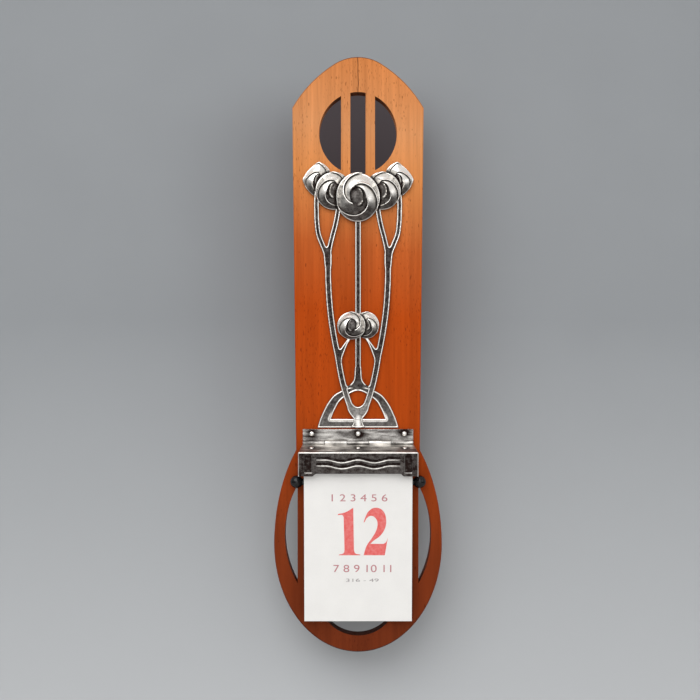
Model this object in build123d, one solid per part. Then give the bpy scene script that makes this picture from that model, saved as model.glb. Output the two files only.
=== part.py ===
from build123d import *
import math
import os

# A wall calendar of about 1900: a tall tapered mahogany back with an oval fret at the head and an oval foot,
# a silver rose ornament on its front, a hinged silver hood, and a tear-off pad that hangs on a ball-ended rod.
# The model is drawn lying on its back: X to the right, Y up the panel from the tip of the foot, and Z out of
# the panel's front face. The export turns it upright, with the hook hole of the hanger plate as the origin.
# All lengths are in millimetres and all angles in degrees.

# Back panel
PANEL_THICKNESS = 9.0
OVAL_HALF_WIDTH = 52.1
OVAL_LOW_RISE = 67.0
FLARE_RISE = 58.4
NECK_HALF_WIDTH = 38.4
SIDE_LENGTH = 212.6
SHOULDER_HALF_WIDTH = 40.8
ARCH_RISE = 31.6
APEX_RADIUS = 27.0
FLANK_RADIUS = 78.0
PANEL_EDGE = 0.6

# Openings sawn through the panel
FRET_HALF_WIDTH = 24.2
FRET_HALF_HEIGHT = 25.6
FRET_DROP = 15.9
FRET_BAR_WIDTH = 5.8
FRET_SLOT_WIDTH = 9.5
OVAL_RIM = 6.7
SIDE_OPENING_WIDTH = 7.9
SIDE_OPENING_HEIGHT = 61.0
SIDE_OPENING_RISE = 6.0
FOOT_HOLE_RADIUS = 24.4
FOOT_RIM = 10.2

# Hanger plate, let in flush at the back
HANGER_WIDTH = 28.0
HANGER_HEIGHT = 10.0
HANGER_THICKNESS = 1.5
HANGER_CORNER = 2.0
HANGER_DROP = 11.1
HOOK_RADIUS = 2.5
HOOK_RELIEF_RADIUS = 4.0
HOOK_RELIEF_DEPTH = 5.0
SCREW_SPACING = 20.0
SCREW_RADIUS = 1.1
SCREW_HEAD_RADIUS = 2.1
SCREW_HEAD_DEPTH = 1.1
SCREW_LENGTH = 6.0
SCREW_CLEARANCE = 0.05

# Hinge strip and its barrel
HINGE_RISE = 63.0
BARREL_RADIUS = 1.5
BARREL_WALL_GAP = 0.2
HINGE_PIN_RADIUS = 0.7
HINGE_PIN_CLEARANCE = 0.04
KNUCKLE_COUNT = 5
KNUCKLE_GAP = 0.3
KNUCKLE_CLEARANCE = 0.3
FLANGE_THICKNESS = 1.2
FLANGE_RISE = 8.4
FLANGE_MARGIN = 1.2
NAIL_INSET = 5.5
NAIL_RISE = 5.6
NAIL_RADIUS = 0.7
NAIL_HEAD_RADIUS = 1.5
NAIL_HEAD_RISE = 0.9
NAIL_DEPTH = 5.0

# Hood
HOOD_DEPTH = 18.0
HOOD_SLOPE = 14.0
HOOD_SHEET = 1.0
HOOD_FRONT_MARGIN = 3.3
HOOD_FRONT_SHEET = 1.5
HOOD_FRONT_HEIGHT = 14.6
HOOD_SCALLOP_RISE = 1.6
HOOD_EAR_WIDTH = 8.5
HOOD_EAR_CURVE = 2.4
HOOD_CORNER = 0.9
HOOD_WALL_GAP = 0.4
HOOD_FRAME_WIDTH = 0.9
HOOD_FRAME_DEPTH = 0.25
WAVE_INSET = 10.7
WAVE_SWING = 0.8
WAVE_GROOVE_WIDTH = 1.1
WAVE_GROOVE_DEPTH = 0.5
WAVE_PITCH = 3.6
WAVE_TOP_DROP = 4.8
WAVE_COUNT = 2
WINDOW_WIDTH = 4.3
WINDOW_HEIGHT = 10.2
WINDOW_INSET = 4.0
WINDOW_TOP_DROP = 2.3
WINDOW_DEPTH = 0.5
RIVET_INSET = 2.5
RIVET_REACH = 8.0
RIVET_RADIUS = 0.7
RIVET_HEAD_RADIUS = 1.3
RIVET_HEAD_RISE = 0.7
RIVET_TAIL_RISE = 0.4

# Leaf spring under the hood's cover
SPRING_SHEET = 0.4
SPRING_INSET = 2.0
SPRING_SEAT = 3.0
SPRING_PAD_GAP = 0.5
SPRING_GRIP = 4.2

# Rod with ball ends, carried by two eyes
ROD_RADIUS = 1.1
ROD_CLEARANCE = 0.05
BALL_RADIUS = 3.95
BALL_WALL_GAP = 0.5
BALL_HOOD_GAP = 1.0
BALL_NECK_RADIUS = 2.2
BALL_NECK_LENGTH = 1.2
BALL_PAD_GAP = 0.4
ROD_GRIP = 3.0
EYE_RADIUS = 2.2
EYE_LENGTH = 3.0
EYE_INSET = 6.0
EYE_POST_RADIUS = 1.2
EYE_POST_DEPTH = 6.0
EYE_COLLAR_RADIUS = 2.2
EYE_COLLAR_RISE = 0.6

# Tear-off pad
PAD_WIDTH = 66.0
PAD_HEIGHT = 99.0
PAD_TUCK = 9.0
PAD_STANDOFF = 0.3
PAD_SEAT_GAP = 0.3
CARD_THICKNESS = 1.2
BLOCK_THICKNESS = 4.4
LEAF_THICKNESS = 0.25
LEAF_GAP = 0.05
LEAF_FOLD_DROP = 3.0
CLIP_SHEET = 0.4
CLIP_HEIGHT = 7.0
BRAD_INSET = 13.0
BRAD_RADIUS = 0.6
BRAD_HEAD_RADIUS = 1.2
BRAD_HEAD_RISE = 0.25
SLEEVE_RADIUS = 2.1
SLEEVE_EYE_GAP = 5.5
SLEEVE_TAB_SHEET = 0.5
SLEEVE_TAB_HALF_HEIGHT = 5.0

# Rose ornament
ORNAMENT_GAP = 1.0
ORNAMENT_HALF_WIDTH = 35.0
ORNAMENT_HEIGHT = 164.6
ARCH_HALF_WIDTH = 25.2
ARCH_HEIGHT = 25.8
ARCH_SHEET = 1.4
STEM_RISE = 2.2
STEM_WIDTH = 3.3
CENTRE_STEM_WIDTH = 3.6
BRANCH_WIDTH = 2.3
CHANNEL_DEPTH = 0.6
ROSE_CENTRE_RADIUS = 14.4
ROSE_INNER_RADIUS = 11.4
ROSE_OUTER_RADIUS = 7.0
ROSE_LOW_LEFT_RADIUS = 8.6
ROSE_LOW_RIGHT_RADIUS = 7.8
ROSE_EDGE = 2.7
ROSE_CENTRE_RISE = 4.2
ROSE_INNER_RISE = 3.2
ROSE_OUTER_RISE = 2.4
ROSE_LOW_RISE = 2.6
PIN_RADIUS = 0.9
PIN_DEPTH = 5.0

# Every cut runs past the face it starts from by this much
OVERRUN = 1.0

# Shapes of the ornament, as shares of its half width and of its height, for the right-hand side
MAIN_STEM_SHARES = (
    (0.529, 0.645), (0.529, 0.571), (0.519, 0.514), (0.497, 0.450), (0.460, 0.386), (0.410, 0.323),
    (0.360, 0.271), (0.314, 0.213), (0.254, 0.156), (0.180, 0.104), (0.100, 0.058), (0.040, 0.022),
)
OUTER_BRANCH_SHARES = (
    (0.737, 0.855), (0.734, 0.810), (0.727, 0.772), (0.700, 0.728), (0.634, 0.690), (0.571, 0.655), (0.529, 0.612),
)
INNER_BRANCH_SHARES = (
    (0.340, 0.840), (0.367, 0.800), (0.405, 0.760), (0.452, 0.722), (0.497, 0.682), (0.521, 0.648), (0.529, 0.612),
)
LOW_BRANCH_SHARES = ((0.100, 0.352), (0.160, 0.333), (0.225, 0.312), (0.290, 0.286), (0.329, 0.258), (0.345, 0.228))
CENTRE_STEM_SHARES = (0.0, 0.830, 0.168)
CENTRE_FOOT_SHARES = ((0.060, 0.222), (0.085, 0.188), (0.140, 0.166), (0.215, 0.150))
CHANNEL_WIDTH_SHARE = 0.5

# The foot arch, as shares of its own half width and height: outside, then inside
ARCH_OUTER_SHARES = ((1.0, 0.0), (0.909, 0.267), (0.734, 0.605), (0.496, 0.841), (0.0, 1.0))
ARCH_INNER_SHARES = ((0.730, 0.200), (0.600, 0.473), (0.425, 0.705), (0.0, 0.891))

# Places of the roses and of the pins behind the ornament, as shares of the ornament's half width and height
ROSE_CENTRE_SHARE = (0.0, 0.866)
ROSE_INNER_SHARE = (0.440, 0.892)
ROSE_OUTER_SHARE = (0.745, 0.942)
ROSE_LOW_LEFT_SHARE = (-0.126, 0.383)
ROSE_LOW_RIGHT_SHARE = (0.157, 0.386)
OUTER_KITE_SHARES = ((0.987, 0.933), (0.690, 1.0), (0.493, 0.967), (0.780, 0.870))
KITE_BOW_SHARE = 0.09
PIN_SHARES = ((-0.745, 0.942), (0.745, 0.942), (0.0, 0.880), (-0.126, 0.383), (-0.600, 0.015), (0.600, 0.015))

# Petals of a rose: curled lips wind in from the rim to a bud, and each petal falls from its own lip to go under the
# next. The bud's radius, the fall and the bud's hollow are shares of the rose's radius and rise.
PETAL_COUNT = 3
PETAL_LEDGE = 0.35
LIP_START = 200.0
LIP_TWIST = 150.0
LIP_POINTS = 9
BUD_SHARE = 0.42
PETAL_MIDDLE_SHARE = 0.40
PETAL_TILT_SHARE = 0.26
PETAL_LEAN_SHARE = 0.20
BUD_RISE_SHARE = 0.45
BUD_HOLLOW_SHARES = (0.72, 0.16, 0.40)

# Places that follow from the sizes above
PANEL_HEIGHT = OVAL_LOW_RISE + FLARE_RISE + SIDE_LENGTH + ARCH_RISE
SHOULDER_Y = PANEL_HEIGHT - ARCH_RISE
FRET_Y = SHOULDER_Y - FRET_DROP
SIDE_OPENING_Y = OVAL_LOW_RISE + SIDE_OPENING_RISE
FOOT_HOLE_Y = FOOT_RIM + FOOT_HOLE_RADIUS
HOOK_Y = PANEL_HEIGHT - HANGER_DROP
HINGE_Y = OVAL_LOW_RISE + HINGE_RISE
HINGE_Z = BARREL_RADIUS + BARREL_WALL_GAP
FLANGE_TOP_Y = HINGE_Y + FLANGE_RISE
FLANGE_HALF_WIDTH = PAD_WIDTH / 2 + FLANGE_MARGIN
HOOD_HALF_WIDTH = PAD_WIDTH / 2 + HOOD_FRONT_MARGIN
HOOD_BACK_Z = HOOD_DEPTH - HOOD_FRONT_SHEET
ORNAMENT_Y = FLANGE_TOP_Y + ORNAMENT_GAP
NAIL_SPACING = FLANGE_HALF_WIDTH - NAIL_INSET
SPRING_HALF_LENGTH = PAD_WIDTH / 2 - SPRING_INSET
RIVET_SPACING = SPRING_HALF_LENGTH - RIVET_INSET
WAVE_HALF_LENGTH = HOOD_HALF_WIDTH - WAVE_INSET
BRAD_SPACING = PAD_WIDTH / 2 - BRAD_INSET
SLOPE = math.radians(HOOD_SLOPE)


def cover_point(reach, rise):
    """Height and distance out of a point of the hood's cover, a reach along its slope and a rise above the hinge."""
    return (
        HINGE_Y - reach * math.sin(SLOPE) + rise * math.cos(SLOPE),
        HINGE_Z + reach * math.cos(SLOPE) + rise * math.sin(SLOPE),
    )


def cover_height(distance_out, rise):
    """Height of the sloping cover at a distance out of the panel."""
    reach = (distance_out - HINGE_Z - rise * math.sin(SLOPE)) / math.cos(SLOPE)
    return cover_point(reach, rise)[0]


HOOD_TOP_Y = cover_height(HOOD_BACK_Z, HOOD_SHEET - BARREL_RADIUS)
HOOD_FOOT_Y = HOOD_TOP_Y - HOOD_FRONT_HEIGHT
ROD_Y = HOOD_FOOT_Y - BALL_HOOD_GAP - BALL_RADIUS
ROD_Z = BALL_RADIUS + BALL_WALL_GAP
CARD_BACK = EYE_RADIUS + PAD_STANDOFF
CARD_FRONT = CARD_BACK + CARD_THICKNESS
BLOCK_FRONT = CARD_FRONT + BLOCK_THICKNESS
PAD_TOP = PAD_TUCK + BALL_HOOD_GAP + BALL_RADIUS
PAD_FOOT = PAD_TOP - PAD_HEIGHT
LEAF_TOP = BALL_HOOD_GAP + BALL_RADIUS - LEAF_FOLD_DROP
PAD_LEAN = math.degrees(
    math.atan2(CARD_BACK, -PAD_FOOT) + math.asin((ROD_Z - PAD_SEAT_GAP) / math.hypot(CARD_BACK, PAD_FOOT))
)
NECK_START = PAD_WIDTH / 2 + BALL_PAD_GAP
BALL_X = NECK_START + BALL_NECK_LENGTH + math.sqrt(BALL_RADIUS**2 - BALL_NECK_RADIUS**2)
ROD_HALF_LENGTH = NECK_START + ROD_GRIP
EYE_X = PAD_WIDTH / 2 - EYE_INSET
SLEEVE_HALF_LENGTH = EYE_X - EYE_LENGTH / 2 - SLEEVE_EYE_GAP


def on_ornament(share):
    """A point of the ornament from its shares of the half width and height."""
    return share[0] * ORNAMENT_HALF_WIDTH, ORNAMENT_Y + share[1] * ORNAMENT_HEIGHT


def mirrored(points):
    return [(-x, y) for x, y in points]


def bar_along_x(radius, start, end):
    """A round bar along X from one place to another."""
    return Pos((start + end) / 2, 0, 0) * Rot(0, 90, 0) * Cylinder(radius, end - start)


def upright(radius, low, high):
    """A round bar along Z between two levels."""
    return Pos(0, 0, (low + high) / 2) * Cylinder(radius, high - low)


def slab(x0, x1, y0, y1, z0, z1):
    return Pos((x0 + x1) / 2, (y0 + y1) / 2, (z0 + z1) / 2) * Box(x1 - x0, y1 - y0, z1 - z0)


def dome(radius, rise):
    """A round-topped head that stands on the XY plane."""
    ball = (radius**2 + rise**2) / (2 * rise)
    below = Pos(0, 0, -ball) * Box(4 * ball, 4 * ball, 2 * ball)
    return Pos(0, 0, rise - ball) * Sphere(ball) - below


def prism(face, low, high):
    """A flat face extruded between two levels."""
    return Pos(0, 0, low) * extrude(face, amount=high - low)


def ribbon(points, width):
    """A curved strip of even width along a row of points."""
    sides = [], []
    for i, (x, y) in enumerate(points):
        x0, y0 = points[max(i - 1, 0)]
        x1, y1 = points[min(i + 1, len(points) - 1)]
        run = math.hypot(x1 - x0, y1 - y0)
        across = (y0 - y1) / run * width / 2, (x1 - x0) / run * width / 2
        sides[0].append((x + across[0], y + across[1]))
        sides[1].append((x - across[0], y - across[1]))
    left, right = sides
    edges = [
        Spline(*left),
        Line(left[-1], right[-1]),
        Spline(*reversed(right)),
        Line(right[0], left[0]),
    ]
    return make_face(edges)


def panel_outline():
    """Half the panel's outline, from the foot up its right side to the apex, then mirrored."""
    flare = math.acos(NECK_HALF_WIDTH / OVAL_HALF_WIDTH)
    upper_rise = FLARE_RISE / math.sin(flare)
    centre = (0, OVAL_LOW_RISE)
    neck = (NECK_HALF_WIDTH, OVAL_LOW_RISE + FLARE_RISE)
    shoulder = (SHOULDER_HALF_WIDTH, SHOULDER_Y)
    apex_y = PANEL_HEIGHT - APEX_RADIUS
    # The flank's centre lies one radius from the shoulder and the difference of the radii from the apex's centre
    near = FLANK_RADIUS - APEX_RADIUS
    dx, dy = SHOULDER_HALF_WIDTH, SHOULDER_Y - apex_y
    span = math.hypot(dx, dy)
    along = (near**2 - FLANK_RADIUS**2 + span**2) / (2 * span)
    aside = math.sqrt(near**2 - along**2)
    flank_x = (along * dx + aside * dy) / span
    flank_y = apex_y + (along * dy - aside * dx) / span
    meet = (-flank_x * APEX_RADIUS / near, apex_y + (apex_y - flank_y) * APEX_RADIUS / near)
    start = math.degrees(math.atan2(shoulder[1] - flank_y, shoulder[0] - flank_x))
    end = math.degrees(math.atan2(meet[1] - flank_y, meet[0] - flank_x))
    half = [
        EllipticalCenterArc(centre, OVAL_HALF_WIDTH, OVAL_LOW_RISE, -90, arc_size=90),
        EllipticalCenterArc(centre, OVAL_HALF_WIDTH, upper_rise, 0, arc_size=math.degrees(flare)),
        Line(neck, shoulder),
        CenterArc((flank_x, flank_y), FLANK_RADIUS, start, end - start),
        CenterArc((0, apex_y), APEX_RADIUS, end, 90 - end),
    ]
    return make_face(half + [mirror(edge, about=Plane.YZ) for edge in half])


def nail_places():
    return [(i * NAIL_SPACING, HINGE_Y + NAIL_RISE) for i in (-1, 0, 1)]


def back_panel():
    board = prism(panel_outline(), -PANEL_THICKNESS, 0)
    rim = [edge for edge in board.faces().sort_by(Axis.Z)[-1].outer_wire().edges()]
    board = chamfer(rim, PANEL_EDGE)
    fret = Pos(0, FRET_Y) * Ellipse(FRET_HALF_WIDTH, FRET_HALF_HEIGHT)
    bar_x = (FRET_SLOT_WIDTH + FRET_BAR_WIDTH) / 2
    for side in (-1, 1):
        fret -= Pos(side * bar_x, FRET_Y) * Rectangle(FRET_BAR_WIDTH, 2 * FRET_HALF_HEIGHT + OVERRUN)
    outer = OVAL_HALF_WIDTH - OVAL_RIM
    inner = outer - SIDE_OPENING_WIDTH
    half_height = SIDE_OPENING_HEIGHT / 2 / math.sin(math.acos(inner / outer))
    sides = Pos(0, SIDE_OPENING_Y) * Ellipse(outer, half_height)
    sides -= Pos(0, SIDE_OPENING_Y) * Rectangle(2 * inner, 2 * half_height + OVERRUN)
    foot = Pos(0, FOOT_HOLE_Y) * Circle(FOOT_HOLE_RADIUS)
    for opening in (fret, sides, foot):
        board -= prism(opening, -PANEL_THICKNESS - OVERRUN, OVERRUN)
    mortise = Pos(0, HOOK_Y) * RectangleRounded(HANGER_WIDTH, HANGER_HEIGHT, HANGER_CORNER)
    floor = HANGER_THICKNESS - PANEL_THICKNESS
    board -= prism(mortise, -PANEL_THICKNESS - OVERRUN, floor)
    board -= Pos(0, HOOK_Y) * upright(HOOK_RELIEF_RADIUS, floor - OVERRUN, floor + HOOK_RELIEF_DEPTH)
    for side in (-1, 1):
        hole = upright(SCREW_RADIUS + SCREW_CLEARANCE, floor - OVERRUN, SCREW_LENGTH - PANEL_THICKNESS)
        board -= Pos(side * SCREW_SPACING / 2, HOOK_Y) * hole
        board -= Pos(side * EYE_X, ROD_Y) * upright(EYE_POST_RADIUS, -EYE_POST_DEPTH, OVERRUN)
    for x, y in nail_places():
        board -= Pos(x, y) * upright(NAIL_RADIUS, -NAIL_DEPTH, OVERRUN)
    for share in PIN_SHARES:
        board -= Pos(*on_ornament(share)) * upright(PIN_RADIUS, -PIN_DEPTH, OVERRUN)
    return board


def hanger_screw(clearance):
    """A countersunk screw, or with a clearance the hole that it sits in."""
    head = Cone(SCREW_HEAD_RADIUS + clearance, SCREW_RADIUS + clearance, SCREW_HEAD_DEPTH)
    return Pos(0, 0, SCREW_HEAD_DEPTH / 2) * head + upright(SCREW_RADIUS + clearance, 0, SCREW_LENGTH)


def hanger():
    """The let-in plate and its two countersunk screws."""
    plate = RectangleRounded(HANGER_WIDTH, HANGER_HEIGHT, HANGER_CORNER) - Circle(HOOK_RADIUS)
    plate = prism(plate, 0, HANGER_THICKNESS)
    place = Pos(0, HOOK_Y, -PANEL_THICKNESS)
    screws = []
    for side in (-1, 1):
        spot = Pos(side * SCREW_SPACING / 2, 0)
        plate -= spot * hanger_screw(SCREW_CLEARANCE)
        screws.append(place * spot * hanger_screw(0))
    return place * plate, Compound(children=screws)


def foot_arch():
    """The bowed foot of the ornament, open inside."""
    def scaled(shares):
        return [(x * ARCH_HALF_WIDTH, ORNAMENT_Y + y * ARCH_HEIGHT) for x, y in shares]

    faces = []
    for shares in (ARCH_OUTER_SHARES, ARCH_INNER_SHARES):
        right = scaled(shares)
        bow = right + mirrored(right[:-1])[::-1]
        faces.append(make_face([Spline(*bow), Line(bow[-1], bow[0])]))
    return prism(faces[0] - faces[1], 0, ARCH_SHEET)


def channelled(routes, turn):
    """Stems of U section: raised lips and a sunk middle, in one piece."""
    strips = []
    for width in (1.0, CHANNEL_WIDTH_SHARE):
        face = None
        for shares, full in routes:
            points = [on_ornament(share) for share in shares]
            strip = ribbon(mirrored(points) if turn else points, full * width)
            face = strip if face is None else face + strip
        strips.append(face)
    return prism(strips[0], 0, STEM_RISE) - prism(strips[1], STEM_RISE - CHANNEL_DEPTH, STEM_RISE + OVERRUN)


def side_stem(turn):
    routes = (
        (MAIN_STEM_SHARES, STEM_WIDTH),
        (OUTER_BRANCH_SHARES, BRANCH_WIDTH),
        (INNER_BRANCH_SHARES, BRANCH_WIDTH),
        (LOW_BRANCH_SHARES, BRANCH_WIDTH),
    )
    return channelled(routes, turn)


def centre_stem():
    x, top, low = CENTRE_STEM_SHARES
    high, foot = on_ornament((x, top)), on_ornament((x, low))
    shaft = Pos(high[0], (high[1] + foot[1]) / 2) * Rectangle(CENTRE_STEM_WIDTH, high[1] - foot[1])
    channel = Pos(high[0], (high[1] + foot[1]) / 2) * Rectangle(
        CENTRE_STEM_WIDTH * CHANNEL_WIDTH_SHARE, high[1] - foot[1]
    )
    right = [on_ornament(share) for share in CENTRE_FOOT_SHARES]
    left = mirrored(right)
    flare = make_face([Spline(*right), Line(right[-1], left[-1]), Spline(*reversed(left)), Line(left[0], right[0])])
    stem = prism(shaft + flare, 0, STEM_RISE)
    return stem - prism(channel, STEM_RISE - CHANNEL_DEPTH, STEM_RISE + OVERRUN)


def lip_point(radius, petal, share, across):
    """A point of a rose: a share of the way in from the rim to the bud, and across from a petal's lip to the next."""
    reach = radius * (1.0 - share * (1.0 - BUD_SHARE))
    angle = math.radians(LIP_START + LIP_TWIST * share + (petal + across) * 360.0 / PETAL_COUNT)
    return reach * math.cos(angle), reach * math.sin(angle)


def petal(radius, rise, index):
    """One petal: a curled sector, cut by a plane that falls away from its lip and climbs towards the bud."""
    shares = [i / (LIP_POINTS - 1) for i in range(LIP_POINTS)]
    edges = [Spline(*[lip_point(radius, index + side, share, 0.0) for share in shares]) for side in (0, 1)]
    for end in (0.0, 1.0):
        edges.append(ThreePointArc(*[lip_point(radius, index, end, across) for across in (0.0, 0.5, 1.0)]))
    x, y = lip_point(radius, index, 0.5, 0.5)
    reach = math.hypot(x, y)
    fall = rise * PETAL_TILT_SHARE / (reach * math.pi / PETAL_COUNT)
    lean = rise * PETAL_LEAN_SHARE / (radius * (1.0 - BUD_SHARE) / 2)
    slope_x = (fall * y - lean * x) / reach
    slope_y = (-fall * x - lean * y) / reach
    tall = ROSE_EDGE + 2 * rise
    wide = 4 * (radius + tall)
    top = Plane(origin=(x, y, ROSE_EDGE + rise * PETAL_MIDDLE_SHARE), z_dir=(-slope_x, -slope_y, 1.0))
    return prism(make_face(edges), 0, tall) - top * Pos(0, 0, wide / 2) * Box(wide, wide, wide)


def petals(radius, rise, turn):
    """A rose's curled petals round a hollow bud."""
    body = upright(radius, 0, ROSE_EDGE)
    for index in range(PETAL_COUNT):
        body += petal(radius - PETAL_LEDGE, rise, index)
    bud = radius * BUD_SHARE + PETAL_LEDGE
    size, shift, depth = BUD_HOLLOW_SHARES
    top = ROSE_EDGE + rise * BUD_RISE_SHARE
    body += upright(bud, 0, top)
    body -= Pos(-shift * bud, shift * bud) * upright(size * bud, top - depth * rise, top + OVERRUN)
    return mirror(body, about=Plane.YZ) if turn else body


def kite(turn):
    """The pointed outline of an outer rose, with bowed sides."""
    corners = [on_ornament(share) for share in OUTER_KITE_SHARES]
    if turn:
        corners = mirrored(corners)
    sides = []
    for start, end in zip(corners, corners[1:] + corners[:1]):
        bow = KITE_BOW_SHARE * math.dist(start, end)
        sides.append(SagittaArc(start, end, bow if turn else -bow))
    return make_face(sides)


def roses(stems):
    """Seven roses. Each is let in over the stems below it, and cut back where the next one covers it."""
    tall = ROSE_EDGE + ROSE_CENTRE_RISE + OVERRUN
    made = {}
    centre = on_ornament(ROSE_CENTRE_SHARE)
    made["rose_centre"] = Pos(*centre) * petals(ROSE_CENTRE_RADIUS, ROSE_CENTRE_RISE, False)
    centre_print = Pos(*centre) * upright(ROSE_CENTRE_RADIUS, -OVERRUN, tall)
    for name, turn in (("left", True), ("right", False)):
        inner_place, outer_place = on_ornament(ROSE_INNER_SHARE), on_ornament(ROSE_OUTER_SHARE)
        if turn:
            inner_place, outer_place = mirrored([inner_place, outer_place])
        inner = Pos(*inner_place) * petals(ROSE_INNER_RADIUS, ROSE_INNER_RISE, turn)
        inner_print = Pos(*inner_place) * upright(ROSE_INNER_RADIUS, -OVERRUN, tall)
        outer = prism(kite(turn), 0, ROSE_EDGE)
        outer += Pos(*outer_place) * petals(ROSE_OUTER_RADIUS, ROSE_OUTER_RISE, turn)
        made[f"rose_inner_{name}"] = inner - centre_print
        made[f"rose_outer_{name}"] = outer - inner_print
    low_left, low_right = on_ornament(ROSE_LOW_LEFT_SHARE), on_ornament(ROSE_LOW_RIGHT_SHARE)
    left_print = Pos(*low_left) * upright(ROSE_LOW_LEFT_RADIUS, -OVERRUN, tall)
    made["rose_low_left"] = Pos(*low_left) * petals(ROSE_LOW_LEFT_RADIUS, ROSE_LOW_RISE, True)
    made["rose_low_right"] = Pos(*low_right) * petals(ROSE_LOW_RIGHT_RADIUS, ROSE_LOW_RISE, False) - left_print
    return {name: rose - stems for name, rose in made.items()}


def ornament():
    arch = foot_arch()
    left = side_stem(True) - arch
    right = side_stem(False) - arch - left
    centre = centre_stem() - arch - left - right
    stems = [left, right, centre]
    parts = {"base_arch": arch, "stem_left": left, "stem_right": right, "stem_centre": centre}
    parts.update(roses(stems))
    pins = [Pos(*on_ornament(share)) * upright(PIN_RADIUS, -PIN_DEPTH, 0) for share in PIN_SHARES]
    parts["ornament_pins"] = Compound(children=pins)
    return parts


def knuckle(index, extra_radius, extra_length):
    """One barrel length along the hinge, grown by a clearance where a neighbour is cut back for it."""
    pitch = 2 * FLANGE_HALF_WIDTH / KNUCKLE_COUNT
    start = index * pitch - FLANGE_HALF_WIDTH + KNUCKLE_GAP / 2
    end = start + pitch - KNUCKLE_GAP
    return bar_along_x(BARREL_RADIUS + extra_radius, start - extra_length, end + extra_length)


def hinge_strip():
    """The nailed strip with every other barrel length, its pin and its three nails."""
    hinge = Pos(0, HINGE_Y, HINGE_Z)
    strip = slab(-FLANGE_HALF_WIDTH, FLANGE_HALF_WIDTH, HINGE_Y, FLANGE_TOP_Y, 0, FLANGE_THICKNESS)
    for i in range(KNUCKLE_COUNT):
        if i % 2:
            strip -= hinge * knuckle(i, KNUCKLE_CLEARANCE, KNUCKLE_GAP)
        else:
            strip += hinge * knuckle(i, 0, 0)
    strip -= hinge * bar_along_x(HINGE_PIN_RADIUS, -FLANGE_HALF_WIDTH - OVERRUN, FLANGE_HALF_WIDTH + OVERRUN)
    nails = []
    for x, y in nail_places():
        shank = upright(NAIL_RADIUS, -NAIL_DEPTH, FLANGE_THICKNESS)
        nail = shank + Pos(0, 0, FLANGE_THICKNESS) * dome(NAIL_HEAD_RADIUS, NAIL_HEAD_RISE)
        nails.append(Pos(x, y) * nail)
        strip -= Pos(x, y) * shank
    pin = hinge * bar_along_x(HINGE_PIN_RADIUS, -FLANGE_HALF_WIDTH, FLANGE_HALF_WIDTH)
    return strip, pin, Compound(children=nails)


def hood_tilt():
    """The sloping frame of the hood's cover: its Y stands off the sheet and its Z runs down the slope."""
    return Pos(0, HINGE_Y, HINGE_Z) * Rot(HOOD_SLOPE, 0, 0)


def rivet_places():
    return [hood_tilt() * Pos(i * RIVET_SPACING, 0, RIVET_REACH) * Rot(-90, 0, 0) for i in (-1, 0, 1)]


def rivet_hole():
    return upright(RIVET_RADIUS, -BARREL_RADIUS - SPRING_SHEET - OVERRUN, OVERRUN)


def in_front_of_cover():
    """Everything from the back of the hood's front plate outwards."""
    reach = HOOD_HALF_WIDTH + OVERRUN
    return slab(-reach, reach, HINGE_Y - HOOD_DEPTH - reach, HINGE_Y + reach, HOOD_BACK_Z, HOOD_BACK_Z + HOOD_DEPTH)


def hood_cover():
    """The sloping sheet with the other barrel lengths rolled from its back edge."""
    long = HOOD_DEPTH + HOOD_FRONT_SHEET
    widen = (HOOD_HALF_WIDTH - FLANGE_HALF_WIDTH) * long / HOOD_DEPTH
    plan = Polygon(
        (-FLANGE_HALF_WIDTH, 0),
        (FLANGE_HALF_WIDTH, 0),
        (FLANGE_HALF_WIDTH + widen, long),
        (-FLANGE_HALF_WIDTH - widen, long),
        align=None,
    )
    sheet = Rot(90, 0, 0) * prism(plan, BARREL_RADIUS - HOOD_SHEET, BARREL_RADIUS)
    bore = HINGE_PIN_RADIUS + HINGE_PIN_CLEARANCE
    for i in range(KNUCKLE_COUNT):
        if i % 2:
            sheet += knuckle(i, 0, 0)
        else:
            sheet -= knuckle(i, KNUCKLE_CLEARANCE, KNUCKLE_GAP)
    sheet -= bar_along_x(bore, -FLANGE_HALF_WIDTH - OVERRUN, FLANGE_HALF_WIDTH + OVERRUN)
    cover = hood_tilt() * sheet - in_front_of_cover()
    for place in rivet_places():
        cover -= place * rivet_hole()
    return cover


def cheek(side):
    """A side of the hood, splayed towards the front and cut to the cover's slope."""
    back, front = FLANGE_HALF_WIDTH, HOOD_HALF_WIDTH
    splay = (front - back) / HOOD_DEPTH
    near, far = back + splay * HOOD_WALL_GAP, back + splay * HOOD_BACK_Z
    plan = Polygon(
        (near - HOOD_SHEET, HOOD_WALL_GAP),
        (near, HOOD_WALL_GAP),
        (far, HOOD_BACK_Z),
        (far - HOOD_SHEET, HOOD_BACK_Z),
        align=None,
    )
    wall = Rot(90, 0, 0) * prism(plan, -HINGE_Y, -HOOD_FOOT_Y)
    reach = HOOD_HALF_WIDTH + OVERRUN
    above = slab(-reach, reach, -BARREL_RADIUS, HOOD_DEPTH, -HOOD_DEPTH, 2 * HOOD_DEPTH)
    wall -= hood_tilt() * above
    return wall if side > 0 else mirror(wall, about=Plane.YZ)


def wave(middle_y, width):
    """A double-dipped wavy band across the hood's front."""
    count = 17
    points = []
    for i in range(count):
        t = 2.0 * i / (count - 1) - 1.0
        points.append((t * WAVE_HALF_LENGTH, middle_y + WAVE_SWING * math.cos(2.0 * math.pi * t)))
    return ribbon(points, width)


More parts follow.
